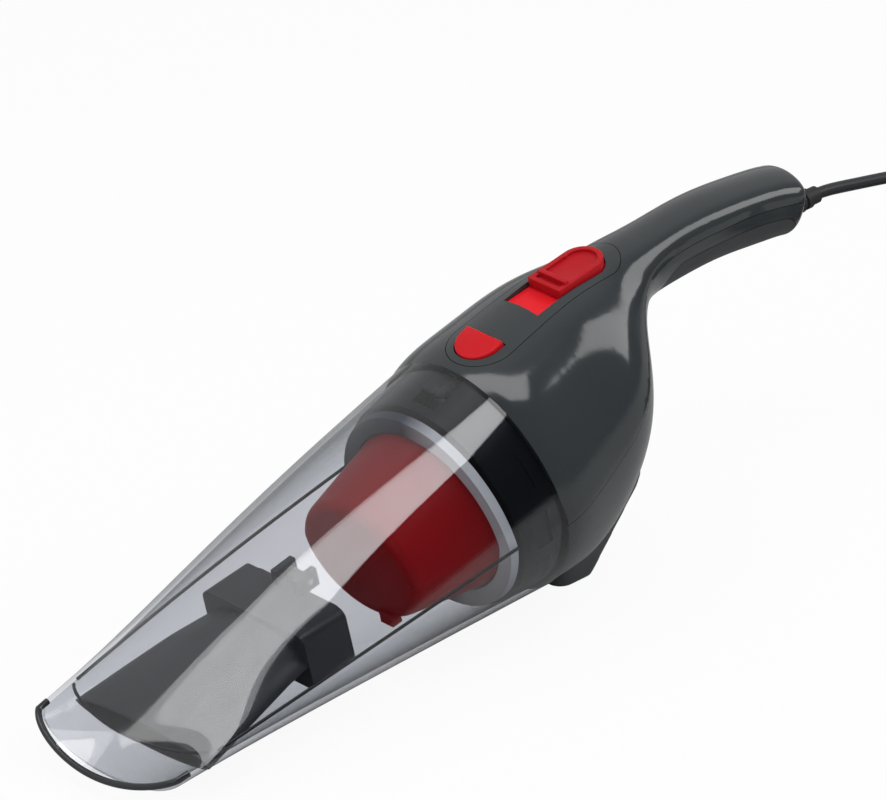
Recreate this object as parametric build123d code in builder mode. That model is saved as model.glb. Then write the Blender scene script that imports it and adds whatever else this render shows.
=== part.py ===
"""Corded 12 V handheld vacuum: clear dust bowl, red filter cup, motor and fan in a two-piece housing with
an arched handle, and a lead that ends in a vehicle accessory plug.

Millimetres. +Z is up, the nose points to -X and the left flank faces -Y. The origin lies on the floor, below
the middle of the machine without its lead.
"""

import os
from math import cos, dist, pi, radians, sin, tan

from build123d import *

os.makedirs("parts", exist_ok=True)

# Overall form
NOSE_X = -196.0  # front of the lip
TAIL_X = 192.5  # end of the handle
RIM_R = 53.0  # half the height and width where bowl and housing meet
RIM_X = 16.0  # centre of the rim, along the machine
RIM_LIFT = 3.2  # gap between the floor and the rim's lowest point
TILT = 12.0  # degrees by which the rim's axis dips towards the nose
CREASE = 8.0  # degrees of the soft crease along the flanks

# Walls and clearances
BOWL_WALL = 2.2
LIP_WALL = 3.0
HOUSING_WALL = 2.6
FRAME_WALL = 2.0
PARTING_GAP = 0.3  # visible line between fixed covers
SLIDE_GAP = 0.5  # between pieces that slide on each other
SEAT_GAP = 0.3  # between a piece and what it sits in
TOUCH = 0.02  # faces that meet
PIN_GAP = 0.05  # round pins and shafts
OVERRUN = 1.0  # by which a hollow is cut past the face it opens through
INNER_ROUND = 0.9  # share of an inset by which a rounding gets smaller

# Bowl
BOWL_LENGTH = 220.0  # along the axis, before the nose is rounded off
BOWL_STATIONS = (0.0, 0.25, 0.5, 0.75, 1.0)
NOSE_HALF_WIDTH = 37.0
NOSE_RISE = 5.6
NOSE_DROP = 5.6
NOSE_SAG = 4.2  # how far the nose lies below the axis of the rim
BOWL_BULGE = 1.6
NOSE_ROUND = 37.0  # depth of the rounded front in plan
NOSE_ROUND_HALF_WIDTH = 43.0
MOUTH_TOP_Z = 8.5
MOUTH_RAKE = 20.0  # how far the mouth's lower edge lies behind its upper edge
TONGUE_WIDTH = 12.0  # catch at the top of the rim
TONGUE_LOW, TONGUE_HIGH = 47.9, 49.9
TONGUE_BACK, TONGUE_FRONT = -5.5, 12.0
NOTCH_RUN = 5.0  # free way for the catch in front of its seat

# Intake duct and flap, in distances along the axis from the rim
DUCT_FRONT, DUCT_BACK = 190.0, 98.0
DUCT_BACK_HALF_WIDTH, DUCT_BACK_HALF_HEIGHT = 25.0, 11.0
DUCT_WALL = 1.8
COLLAR_LENGTH = 24.0
COLLAR_WIDTH, COLLAR_HEIGHT = 58.0, 26.0
COLLAR_CORNER = 4.0
FLAP_WIDTH, FLAP_HEIGHT, FLAP_THICK = 50.0, 22.0, 1.6
FLAP_PIN_R, FLAP_EYE_R = 1.2, 2.6
FLAP_EYE_WIDTH = 8.0
LUG_WIDTH, LUG_HEIGHT, LUG_ROOT = 3.0, 7.0, 1.0
LUG_BACK, LUG_FRONT = -7.0, 4.0

# Filter
NECK_LENGTH = 21.0  # dark neck that the bowl slides over
NECK_BACK = 10.0
NECK_PLATE = 2.5
NECK_BORE = (46.5, 43.5)  # half width and half height of the hollow neck
NECK_WINDOWS = (-150.0, -118.0, -62.0, -30.0, 0.0, 30.0, 150.0, 180.0)  # degrees round the axis
WINDOW_SIZE = (16.0, 9.0)
WINDOW_FLOOR_R = 47.4
FILTER_RING, FILTER_GAP = 4.0, 2.0  # its length, and the room round it for its pull
SEAL_THICK, SEAL_WIDTH, SEAL_MARGIN = 1.5, 3.0, 1.0
CUP_TIP = 65.0  # distance of the cup's front from the rim
CUP_BASE_HALF_WIDTH, CUP_BASE_HALF_HEIGHT = 41.0, 36.0
CUP_TIP_HALF_WIDTH, CUP_TIP_HALF_HEIGHT = 33.0, 25.0
CUP_ROUND = 5.0
CUP_WALL = 1.4
CLOTH_WALL, CLOTH_GAP, CLOTH_HEM = 1.0, 1.0, 0.2
PULL_TAB = (7.0, 5.0, 4.0)
TAB_PROUD = 1.0

# Housing and handle
BELLY_RIBS = (  # top point (x, z), rear point (x, z), half width, height of the crease as a share
    ((26.0, 115.6), (50.4, 5.0), 52.4, 0.54),
    ((46.0, 121.3), (73.6, 21.0), 48.4, 0.55),
    ((65.0, 125.4), (90.5, 48.0), 39.0, 0.55),
    ((82.0, 127.4), (97.4, 75.0), 25.0, 0.60),
    ((98.0, 129.1), (102.6, 95.5), 17.0, 0.66),
)
HANDLE_ROOT_X = 116.0
HANDLE_RIBS = 5
HANDLE_TOP_Z = 132.3
HANDLE_CROWN_X = 145.0
HANDLE_ARCH_R = 219.0
HANDLE_THICK = 30.0
HANDLE_HALF_WIDTH = 13.7
HANDLE_CREASE_SHARE = 0.75
TAIL_FILLET = 5.0
PARTING_DROP = 3.0  # the parting line runs this far below the crease
GRIP_SKIN = 1.5
GRIP_FRONT_X, GRIP_REAR_X = 126.0, 176.0
GRIP_HEIGHT = 26.0
VENT_COUNT, VENT_PITCH = 5, 7.0
VENT_WIDTH, VENT_HEIGHT = 26.0, 3.2
VENT_LOW_Z = 50.0
BOSS_R = 4.4
SCREW_SPOTS = ((62.0, 28.0), (62.0, -28.0), (106.0, 0.0))
SCREW_R, SCREW_HEAD_R, SCREW_HEAD = 1.5, 3.0, 2.2
SCREW_SEAT, SCREW_BITE = 6.0, 8.0  # head below the parting line, thread above it

# Controls on the top
PANEL_FRONT_X, PANEL_FRONT_R = 23.0, 14.8
PANEL_REAR_X, PANEL_REAR_R = 82.0, 12.2
LEDGE = 1.8  # ledge under the panel
LEDGE_REACH = 3.0
SWITCH_X = 65.0  # middle of the switch slot
SLOT_LENGTH, SLOT_WIDTH = 44.0, 19.2
SLIDER_LENGTH, SLIDER_WIDTH = 30.0, 18.0
SLIDER_PROUD = 1.4
SLIDER_RIM, SLIDER_DISH = 2.2, 1.4
SLIDER_RIDGE = 1.2
SLOT_DEPTH = 3.4
SWITCH_TRAVEL = 12.0
TRAY_DEPTH, TRAY_FLANGE, TRAY_REACH = 6.0, 1.4, 3.0
STEM = 4.0
STEM_LENGTH = 10.0
BLOCK_SIZE = (32.0, 16.0, 11.0)
BUTTON_X = 18.0
BUTTON_LENGTH, BUTTON_WIDTH = 14.0, 20.0
BUTTON_PROUD = 1.2
BUTTON_TRAVEL = 2.5
LATCH_WIDTH, LATCH_THICK = 8.0, 3.0
LATCH_FRONT, LATCH_BACK, LATCH_STEM = -6.0, -19.0, 5.0
LEAF_THICK, LEAF_HALF_WIDTH = 0.5, 3.0
LEAF_RIB, LEAF_RIB_THICK = -31.0, 3.0

# Fan and motor, in distances along the axis from the rim
CASE_R, CASE_WALL = 40.0, 1.8
CASE_BACK = -12.0
CASE_WINDOWS = 6
INTAKE_R, INTAKE_HUB_R = 24.0, 6.0
GRILLE_BARS, GRILLE_BAR_WIDTH = 8, 2.0
FAN_R, FAN_HUB_R, FAN_EYE_R = 36.0, 5.0, 13.0
FAN_BLADES, BLADE_THICK = 9, 1.4
BLADE_BEND, BLADE_SWEEP = 34.0, 54.0  # degrees round the axis at the blade's middle and end
FAN_BACK, FAN_PLATE, FAN_FRONT = 0.0, 1.8, 13.0
MOTOR_R, MOTOR_WALL = 16.0, 1.2
MOTOR_LENGTH = 38.0
END_CAP_LENGTH = 5.0
SHAFT_R, BUSH_R, BUSH_LENGTH, BUSH_SINK = 1.6, 4.5, 3.0, 1.0
ARMATURE_R = 11.0
TERMINAL_SIZE = (1.0, 5.0, 6.0)
TERMINAL_Y = 8.0
MOTOR_SCREW_V, MOTOR_SCREW_R = 10.0, 1.2

# Foot
FOOT_HALF_WIDTH = 20.0
FOOT_FRONT_X, FOOT_FLAT_X = 42.0, 60.0
FOOT_REAR_X, FOOT_REAR_Z = 92.0, 36.0
FOOT_CORNER = 6.0

# Lead and plug
CORD_D = 5.0
CORD_SIDES = 6
CORD_Z = 108.5
RELIEF_R, RELIEF_RIB_R, RELIEF_FLANGE_R = 3.6, 4.8, 4.7
RELIEF_LENGTH, RELIEF_RIBS = 17.0, 3
RELIEF_RIB_SHARE, RELIEF_TAPER = 0.6, 0.3  # rib length in its pitch, and loss of radius from rib to rib
CORD_TAIL = 34.0
CLAMP_X, CLAMP_LENGTH = 170.0, 6.0
WIRE_R = 0.9
WIRE_GAP = 0.3  # between a wire's square end and what it is joined to
COIL_R = 51.5
COIL_PITCH = 5.5
COIL_LAYERS, COIL_HALF_TURNS = 4, 9
COIL_Y = -74.0
CORD_BEND_X, CORD_BEND_Z = 246.0, 102.0  # where the lead turns down
CORD_FALL = (262.0, -6.0, 64.0)
CORD_LAND_Y = -34.0
ARC_SHARE = 0.45  # part of the shorter run that a bend of the lead takes up
TIE_THICK, TIE_WIDTH = 1.2, 12.0
TIE_ROOM = 1.0
PLUG_GRIP_R, PLUG_GRIP_LENGTH = 12.4, 34.0
PLUG_BARREL_R, PLUG_BARREL_LENGTH = 10.4, 34.0
PLUG_BORE_R = 6.0
PLUG_RING_R, PLUG_RING_LENGTH = 8.6, 6.0
PLUG_TIP_R, PLUG_TIP_PROUD = 3.6, 6.0
PLUG_TRAVEL = 3.0  # of the sprung tip
PLUG_FLUTES = 12
PLUG_BOOT = 11.0
PLUG_RUNS = (8.0, 25.0, 32.0)  # along the lead that rises to the plug
CONTACT_SINK, CONTACT_PROUD, CONTACT_MARGIN = 1.0, 0.8, 8.0
FUSE_R = 3.0

# Rim plane: x to the left flank, y upwards, z forwards along the axis
DIP = radians(TILT)
RIM_Z = RIM_LIFT + RIM_R * cos(DIP)
RIM = Plane(origin=(RIM_X, 0, RIM_Z), x_dir=(0, -1, 0), z_dir=(-cos(DIP), 0, -sin(DIP)))
FAR = 400.0  # beyond everything


def save(piece, name):
    """Labels a finished piece and writes it to its own file."""
    piece.part.label = name
    export_step(piece.part, f"parts/{name}.step")


def oval(plane, half_width, rise, drop):
    """Closed outline of an upper and a lower elliptical arc that meet in a soft crease at the sides."""
    lean = radians(CREASE)
    side = half_width / cos(lean)
    upper, lower = rise / (1 - sin(lean)), drop / (1 - sin(lean))
    with BuildSketch(plane) as outline:
        with BuildLine():
            EllipticalCenterArc((0, rise - upper), side, upper, CREASE, arc_size=180 - 2 * CREASE)
            EllipticalCenterArc((0, lower - drop), side, lower, 180 + CREASE, arc_size=180 - 2 * CREASE)
        make_face()
    return outline.sketch


def bowl_plane(forward):
    """Section plane of the bowl, which sags below the rim's axis towards the nose."""
    plane = RIM.offset(forward)
    return Plane(
        origin=plane.origin - plane.y_dir * NOSE_SAG * forward / BOWL_LENGTH,
        x_dir=plane.x_dir,
        z_dir=plane.z_dir,
    )


def bowl_outline(forward, inset=0.0):
    """Section of the bowl at a distance in front of the rim."""
    share = forward / BOWL_LENGTH
    bulge = BOWL_BULGE * sin(pi * min(max(share, 0), 1))
    half_width = RIM_R + (NOSE_HALF_WIDTH - RIM_R) * share + bulge
    rise = RIM_R + (NOSE_RISE - RIM_R) * share + bulge
    drop = RIM_R + (NOSE_DROP - RIM_R) * share
    return oval(bowl_plane(forward), half_width - inset, rise - inset, drop - inset)


def handle_top(x):
    """Height of the handle's back at a place along the machine."""
    return HANDLE_TOP_Z - (x - HANDLE_CROWN_X) ** 2 / (2 * HANDLE_ARCH_R)


def housing_ribs():
    """Top point, rear point, half width and crease share of each section behind the rim."""
    ribs = list(BELLY_RIBS)
    for i in range(HANDLE_RIBS):
        x = HANDLE_ROOT_X + (TAIL_X - HANDLE_ROOT_X) * i / (HANDLE_RIBS - 1)
        top = handle_top(x)
        ribs.append(((x, top), (x, top - HANDLE_THICK), HANDLE_HALF_WIDTH, HANDLE_CREASE_SHARE))
    return ribs


def rib_plane(top, rear, share):
    """Plane through a top and a rear point with its origin at the crease, and the rise and drop from there."""
    high, low = Vector(top[0], 0, top[1]), Vector(rear[0], 0, rear[1])
    origin = low + (high - low) * share
    across = Vector(0, -1, 0)
    plane = Plane(origin=origin, x_dir=across, z_dir=across.cross(high - low))
    return plane, (high - origin).length, (origin - low).length


def housing_form(inset=0.0):
    """Solid of the housing and handle, drawn in by an inset. An inset form runs out through the rim."""
    ribs = housing_ribs()
    with BuildPart() as form:
        add(oval(RIM.offset(OVERRUN if inset else 0.0), RIM_R - inset, RIM_R - inset, RIM_R - inset))
        for i, (top, rear, half_width, share) in enumerate(ribs):
            plane, rise, drop = rib_plane(top, rear, share)
            pulled = inset if i == len(ribs) - 1 else 0.0
            add(oval(plane.offset(pulled), half_width - inset, rise - inset, drop - inset))
        loft()
        fillet(form.faces().sort_by(Axis.X)[-1].edges(), TAIL_FILLET - INNER_ROUND * inset)
    return form.part


def back_height(x):
    """Height of the housing's back, along straight lines between the sections' top points."""
    points = [(RIM_X - RIM_R * sin(DIP), RIM_Z + RIM_R * cos(DIP))] + [rib[0] for rib in housing_ribs()]
    for (x0, z0), (x1, z1) in zip(points, points[1:]):
        if x <= x1:
            return z0 + (z1 - z0) * (x - x0) / (x1 - x0)
    return points[-1][1]


def back_plane(x, reach):
    """Plane on the housing's back, x to the rear and z outwards, with the mean slope over a reach."""
    rise = back_height(x + reach) - back_height(x - reach)
    along = Vector(2 * reach, 0, rise)
    return Plane(origin=(x, 0, back_height(x)), x_dir=along, z_dir=along.cross(Vector(0, 1, 0)))


def parting_points():
    """Side view of the parting line, which runs out past the rim and the handle's end."""
    crease = [(RIM_X, RIM_Z)]
    for top, rear, _, share in housing_ribs():
        plane = rib_plane(top, rear, share)[0]
        crease.append((plane.origin.X, plane.origin.Z))
    (x0, z0), (x1, z1) = crease[0], crease[1]
    (x2, z2), (x3, z3) = crease[-2], crease[-1]
    crease.insert(0, (x0 - (x1 - x0), z0 - (z1 - z0)))
    crease.append((x3 + (x3 - x2), z3 + (z3 - z2)))
    return [(x, z - PARTING_DROP) for x, z in crease]


def parting_height(x):
    """Height of the parting line, along straight lines between its points."""
    points = parting_points()
    for (x0, z0), (x1, z1) in zip(points, points[1:]):
        if x <= x1:
            return z0 + (z1 - z0) * (x - x0) / (x1 - x0)
    return points[-1][1]


def below_parting(lift):
    """Region below the parting line, raised by a lift, through the whole width."""
    points = [(x, z + lift) for x, z in parting_points()]
    with BuildPart() as region:
        with BuildSketch(Plane.XZ):
            with BuildLine():
                Spline(*points)
                Polyline(points[-1], (points[-1][0], -FAR), (points[0][0], -FAR), points[0])
            make_face()
        extrude(amount=FAR, both=True)
    return region.part


def panel_plan(grow):
    """Plan of the control panel, a hull round a front and a rear circle."""
    with BuildSketch(Plane.XY) as plan:
        with Locations((PANEL_FRONT_X, 0)):
            Circle(PANEL_FRONT_R + grow)
        with Locations((PANEL_REAR_X, 0)):
            Circle(PANEL_REAR_R + grow)
        make_hull()
    return plan.sketch


def nose_shape(plane, length, width, grow=0.0):
    """Outline with a straight edge on one x side and a rounded end on the other, centred on its length."""
    with BuildSketch(plane) as outline:
        with Locations((-length / 2 - grow + (width / 2 + grow), 0)):
            Circle(width / 2 + grow)
        with Locations((width / 4, 0)):
            Rectangle(length + 2 * grow - width / 2, width + 2 * grow)
        with Locations((length / 2 + grow, 0)):
            cut = (Align.MIN, Align.CENTER)
            Rectangle(width + grow, width + 4 * grow, align=cut, mode=Mode.SUBTRACT)
    return outline.sketch


def block(plane, x, y, z):
    """Box between three pairs of limits in a plane's own directions."""
    with BuildPart() as piece:
        with BuildSketch(plane.offset(z[0])):
            with Locations(((x[0] + x[1]) / 2, (y[0] + y[1]) / 2)):
                Rectangle(x[1] - x[0], y[1] - y[0])
        extrude(amount=z[1] - z[0])
    return piece.part


def rod(plane, radius, start, end, x=0.0, y=0.0):
    """Round bar along a plane's normal, between two distances from the plane."""
    with BuildPart() as piece:
        with BuildSketch(plane.offset(start)):
            with Locations((x, y)):
                Circle(radius)
        extrude(amount=end - start)
    return piece.part


def spoke_plane(forward, angle):
    """Plane at a distance in front of the rim whose normal points outwards at an angle round the axis."""
    spoke = RIM.x_dir * cos(radians(angle)) + RIM.y_dir * sin(radians(angle))
    return Plane(origin=RIM.offset(forward).origin, x_dir=RIM.z_dir.cross(spoke), z_dir=spoke)


def tube(points, radius):
    """Six-sided tube along straight runs and the largest tangent arcs that they allow, and its arcs' radii."""
    radii = []
    for before, here, after in zip(points, points[1:], points[2:]):
        first, second = Vector(*here) - Vector(*before), Vector(*after) - Vector(*here)
        half_turn = radians(first.get_angle(second)) / 2
        radii.append(ARC_SHARE * min(first.length, second.length) / tan(half_turn))
    with BuildPart() as swept:
        with BuildLine() as route:
            FilletPolyline(*points, radius=radii)
        start = Vector(*points[0])
        with BuildSketch(Plane(origin=start, z_dir=Vector(*points[1]) - start)) as section:
            RegularPolygon(radius, CORD_SIDES)
        sweep()
    length = sum(edge.length for edge in route.edges())
    share = swept.part.volume / section.sketch.area / length
    return swept, f"radii {[round(r) for r in radii]} length {length:.0f} volume share {share:.4f}", length


# Dust bowl
with BuildSketch(Plane.XY) as nose_plan:
    with Locations((NOSE_X + NOSE_ROUND, 0)):
        Ellipse(NOSE_ROUND, NOSE_ROUND_HALF_WIDTH)
    with Locations((NOSE_X + NOSE_ROUND + FAR / 2, 0)):
        Rectangle(FAR, 3 * RIM_R)

with BuildPart() as bowl_hollow:
    for share in BOWL_STATIONS:
        reach = BOWL_LENGTH + 2 * OVERRUN
        inset = LIP_WALL if share == BOWL_STATIONS[-1] else BOWL_WALL
        add(bowl_outline(share * reach - OVERRUN, inset))
    loft()

with BuildPart() as dust_bowl:
    for share in BOWL_STATIONS:
        add(bowl_outline(share * BOWL_LENGTH))
    loft()
    add(bowl_hollow.part, mode=Mode.SUBTRACT)
    extrude(nose_plan.sketch, amount=FAR, both=True, mode=Mode.INTERSECT)
    with BuildSketch(Plane.XZ):
        with BuildLine():
            slope = MOUTH_TOP_Z / MOUTH_RAKE
            Polyline(
                (NOSE_X - MOUTH_RAKE, MOUTH_TOP_Z + slope * MOUTH_RAKE),
                (NOSE_X + 2 * MOUTH_RAKE, MOUTH_TOP_Z - 2 * slope * MOUTH_RAKE),
                (NOSE_X - MOUTH_RAKE, MOUTH_TOP_Z - 2 * slope * MOUTH_RAKE),
                close=True,
            )
        make_face()
    extrude(amount=FAR, both=True, mode=Mode.SUBTRACT)
    half = TONGUE_WIDTH / 2
    add(block(RIM, (-half, half), (TONGUE_LOW, TONGUE_HIGH), (TONGUE_BACK, TONGUE_FRONT)))
save(dust_bowl, "dust_bowl")

# Intake duct with its collar and hinge lugs
COLLAR_TOP = COLLAR_HEIGHT / 2
PIN_HEIGHT = COLLAR_TOP + FLAP_EYE_R
duct_back_plane = bowl_plane(DUCT_BACK)
PIN_AT = (
    duct_back_plane.origin
    - duct_back_plane.z_dir * (SEAT_GAP + FLAP_EYE_R)
    + duct_back_plane.y_dir * PIN_HEIGHT
)
FLAP_AXIS = Plane(origin=PIN_AT, x_dir=(1, 0, 0), z_dir=(0, -1, 0))
with BuildPart() as duct_hollow:
    inner = BOWL_WALL + SLIDE_GAP + DUCT_WALL
    add(bowl_outline(DUCT_FRONT + OVERRUN, inner))
    bore = (DUCT_BACK_HALF_WIDTH - DUCT_WALL, DUCT_BACK_HALF_HEIGHT - DUCT_WALL)
    add(oval(bowl_plane(DUCT_BACK - OVERRUN), bore[0], bore[1], bore[1]))
    loft()
with BuildPart() as intake_duct:
    add(bowl_outline(DUCT_FRONT, BOWL_WALL + SLIDE_GAP))
    add(oval(duct_back_plane, DUCT_BACK_HALF_WIDTH, DUCT_BACK_HALF_HEIGHT, DUCT_BACK_HALF_HEIGHT))
    loft()
    with BuildSketch(duct_back_plane):
        RectangleRounded(COLLAR_WIDTH, COLLAR_HEIGHT, COLLAR_CORNER)
    extrude(amount=COLLAR_LENGTH)
    add(duct_hollow.part, mode=Mode.SUBTRACT)
    for side in (-1, 1):
        middle = side * (FLAP_EYE_WIDTH / 2 + SLIDE_GAP + LUG_WIDTH / 2)
        across = (middle - LUG_WIDTH / 2, middle + LUG_WIDTH / 2)
        upward = (COLLAR_TOP - LUG_ROOT, COLLAR_TOP + LUG_HEIGHT)
        add(block(duct_back_plane, across, upward, (LUG_BACK, LUG_FRONT)))
    add(rod(FLAP_AXIS, FLAP_PIN_R + TOUCH, -FAR, FAR), mode=Mode.SUBTRACT)
save(intake_duct, "intake_duct")

with BuildPart() as flap_pin:
    reach = FLAP_EYE_WIDTH / 2 + SLIDE_GAP + LUG_WIDTH
    add(rod(FLAP_AXIS, FLAP_PIN_R, -reach, reach))
save(flap_pin, "flap_pin")

with BuildPart() as flap_valve:
    with BuildSketch(duct_back_plane.offset(-SEAT_GAP - FLAP_THICK)):
        RectangleRounded(FLAP_WIDTH, FLAP_HEIGHT, COLLAR_CORNER)
    extrude(amount=FLAP_THICK)
    half = FLAP_EYE_WIDTH / 2
    add(block(duct_back_plane, (-half, half), (0, PIN_HEIGHT), (-SEAT_GAP - FLAP_THICK, -SEAT_GAP)))
    add(rod(FLAP_AXIS, FLAP_EYE_R, -half, half))
    add(rod(FLAP_AXIS, FLAP_PIN_R + PIN_GAP, -FAR, FAR), mode=Mode.SUBTRACT)
save(flap_valve, "flap_valve")

# Neck frame, which carries the filter and closes the front of the housing
with BuildPart() as neck_frame:
    for share in (0, 0.5, 1):
        add(bowl_outline(share * NECK_LENGTH, BOWL_WALL + SLIDE_GAP))
    loft()
    seat = RIM_R - HOUSING_WALL - 2 * SLIDE_GAP
    extrude(oval(RIM, seat, seat, seat), amount=-NECK_BACK)
    extrude(
        oval(RIM.offset(-NECK_BACK - OVERRUN), NECK_BORE[0], NECK_BORE[1], NECK_BORE[1]),
        amount=NECK_BACK + OVERRUN + NECK_LENGTH - NECK_PLATE,
        mode=Mode.SUBTRACT,
    )
    with BuildSketch(RIM.offset(NECK_LENGTH)):
        Circle(INTAKE_R)
        Circle(INTAKE_HUB_R, mode=Mode.SUBTRACT)
        with PolarLocations(INTAKE_R / 2, GRILLE_BARS):
            Rectangle(INTAKE_R + 2 * OVERRUN, GRILLE_BAR_WIDTH, mode=Mode.SUBTRACT)
    extrude(amount=-NECK_PLATE - OVERRUN, mode=Mode.SUBTRACT)
    half = TONGUE_WIDTH / 2 + SLIDE_GAP
    low = TONGUE_LOW - SEAT_GAP - LATCH_THICK - BUTTON_TRAVEL - SLIDE_GAP
    notch = (-NECK_BACK - OVERRUN, TONGUE_FRONT + NOTCH_RUN)
    add(block(RIM, (-half, half), (low, RIM_R), notch), mode=Mode.SUBTRACT)
    for angle in NECK_WINDOWS:
        wide, deep = WINDOW_SIZE[0] / 2, WINDOW_SIZE[1] / 2
        spoke = spoke_plane(NECK_LENGTH / 2, angle)
        add(block(spoke, (-wide, wide), (-deep, deep), (WINDOW_FLOOR_R, RIM_R)), mode=Mode.SUBTRACT)
save(neck_frame, "neck_frame")

# Filter, which pulls forwards off the neck
RING_BACK = NECK_LENGTH + SEAT_GAP + SEAL_THICK
RING_FRONT = RING_BACK + FILTER_RING


def cup_form(inset, back, front):
    """Solid of the filter cup drawn in by an inset, between two distances from the rim."""
    with BuildPart() as form:
        base = (CUP_BASE_HALF_WIDTH - inset, CUP_BASE_HALF_HEIGHT - inset)
        tip = (CUP_TIP_HALF_WIDTH - inset, CUP_TIP_HALF_HEIGHT - inset)
        add(oval(RIM.offset(back), base[0], base[1], base[1]))
        add(oval(RIM.offset(front), tip[0], tip[1], tip[1]))
        loft()
        fillet(form.faces().sort_by(Axis.X)[0].edges(), CUP_ROUND - INNER_ROUND * inset)
    return form.part


with BuildPart() as filter_frame:
    for forward in (RING_BACK, RING_FRONT):
        add(bowl_outline(forward, BOWL_WALL + FILTER_GAP))
    loft()
    opening = (CUP_BASE_HALF_WIDTH + TOUCH, CUP_BASE_HALF_HEIGHT + TOUCH)
    extrude(
        oval(RIM.offset(RING_BACK - OVERRUN), opening[0], opening[1], opening[1]),
        amount=FILTER_RING + 2 * OVERRUN,
        mode=Mode.SUBTRACT,
    )
save(filter_frame, "filter_frame")

with BuildPart() as filter_seal:
    inside = (CUP_BASE_HALF_WIDTH + SEAL_MARGIN, CUP_BASE_HALF_HEIGHT + SEAL_MARGIN)
    outside = (inside[0] + SEAL_WIDTH, inside[1] + SEAL_WIDTH)
    back = RIM.offset(NECK_LENGTH + SEAT_GAP)
    extrude(oval(back, outside[0], outside[1], outside[1]), amount=SEAL_THICK - TOUCH)
    extrude(oval(back, inside[0], inside[1], inside[1]), amount=SEAL_THICK, mode=Mode.SUBTRACT)
save(filter_seal, "filter_seal")

with BuildPart() as filter_cup:
    add(cup_form(0.0, RING_BACK, CUP_TIP))
    tab_x, tab_v, tab_d = PULL_TAB
    low = -CUP_TIP_HALF_HEIGHT
    upward, forward = (low - TAB_PROUD, low + tab_v), (CUP_TIP - tab_d, CUP_TIP + TAB_PROUD)
    add(block(RIM, (tab_x, 2 * tab_x), upward, forward))
    add(cup_form(CUP_WALL, RING_BACK - OVERRUN, CUP_TIP - CUP_WALL), mode=Mode.SUBTRACT)
save(filter_cup, "filter_cup")

with BuildPart() as filter_cloth:
    slack = CUP_WALL + CLOTH_GAP
    add(cup_form(slack, RING_BACK, CUP_TIP - slack))
    inside = (CUP_BASE_HALF_WIDTH - slack + CLOTH_HEM, CUP_BASE_HALF_HEIGHT - slack + CLOTH_HEM)
    extrude(oval(RIM.offset(RING_BACK), inside[0], inside[1], inside[1]), amount=CLOTH_WALL)
    thick = slack + CLOTH_WALL
    add(cup_form(thick, RING_BACK - OVERRUN, CUP_TIP - thick), mode=Mode.SUBTRACT)
save(filter_cloth, "filter_cloth")

# Fan and motor
MOTOR_FRONT = CASE_BACK - TOUCH
MOTOR_BACK = MOTOR_FRONT - MOTOR_LENGTH
CAP_BACK = MOTOR_BACK - END_CAP_LENGTH
MOTOR_SCREWS = (-MOTOR_SCREW_V, MOTOR_SCREW_V)

with BuildPart() as fan_case:
    add(rod(RIM, CASE_R, CASE_BACK, NECK_LENGTH - NECK_PLATE - TOUCH))
    add(rod(RIM, CASE_R - CASE_WALL, CASE_BACK + CASE_WALL, FAR), mode=Mode.SUBTRACT)
    add(rod(RIM, BUSH_R + TOUCH, CASE_BACK - OVERRUN, 0.0), mode=Mode.SUBTRACT)
    for y in MOTOR_SCREWS:
        add(rod(RIM, MOTOR_SCREW_R + TOUCH, CASE_BACK - OVERRUN, 0.0, y=y), mode=Mode.SUBTRACT)
    for i in range(CASE_WINDOWS):
        spoke = spoke_plane((FAN_BACK + FAN_FRONT) / 2, (i + 0.5) * 360 / CASE_WINDOWS)
        wide, deep = CASE_R / 4, (FAN_FRONT - FAN_BACK) / 2
        add(block(spoke, (-wide, wide), (-deep, deep), (FAN_R, FAR)), mode=Mode.SUBTRACT)
save(fan_case, "fan_case")

with BuildSketch() as fan_blade:
    with BuildLine():
        middle_r, tip_r = (FAN_EYE_R + FAN_R) / 2, FAN_R - BLADE_THICK
        inner_end = (FAN_EYE_R, 0)
        bend = (middle_r * cos(radians(BLADE_BEND)), middle_r * sin(radians(BLADE_BEND)))
        outer_end = (tip_r * cos(radians(BLADE_SWEEP)), tip_r * sin(radians(BLADE_SWEEP)))
        curve = ThreePointArc(inner_end, bend, outer_end)
    trace(curve, BLADE_THICK)

with BuildPart() as impeller:
    add(rod(RIM, FAN_R, FAN_BACK, FAN_BACK + FAN_PLATE))
    add(rod(RIM, FAN_HUB_R, FAN_BACK, FAN_FRONT))
    with BuildSketch(RIM.offset(FAN_BACK)):
        with PolarLocations(0, FAN_BLADES):
            add(fan_blade.sketch)
    extrude(amount=FAN_FRONT - FAN_BACK)
    add(rod(RIM, SHAFT_R + TOUCH, FAN_BACK - OVERRUN, FAR), mode=Mode.SUBTRACT)
save(impeller, "impeller")

with BuildPart() as motor_shaft:
    add(rod(RIM, SHAFT_R, CAP_BACK, FAN_FRONT))
save(motor_shaft, "motor_shaft")

with BuildPart() as motor_armature:
    add(rod(RIM, ARMATURE_R, MOTOR_BACK + 2 * BUSH_LENGTH, MOTOR_FRONT - 2 * BUSH_LENGTH))
    add(rod(RIM, SHAFT_R + TOUCH, -FAR, 0.0), mode=Mode.SUBTRACT)
save(motor_armature, "motor_armature")

with BuildPart() as motor_can:
    add(rod(RIM, MOTOR_R, MOTOR_BACK, MOTOR_FRONT))
    add(rod(RIM, MOTOR_R - MOTOR_WALL, MOTOR_BACK - OVERRUN, MOTOR_FRONT - 2 * MOTOR_WALL), mode=Mode.SUBTRACT)
    add(rod(RIM, BUSH_R + TOUCH, -FAR, 0.0), mode=Mode.SUBTRACT)
    for y in MOTOR_SCREWS:
        add(rod(RIM, MOTOR_SCREW_R + TOUCH, MOTOR_FRONT - 2 * FRAME_WALL, 0.0, y=y), mode=Mode.SUBTRACT)
save(motor_can, "motor_can")

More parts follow.
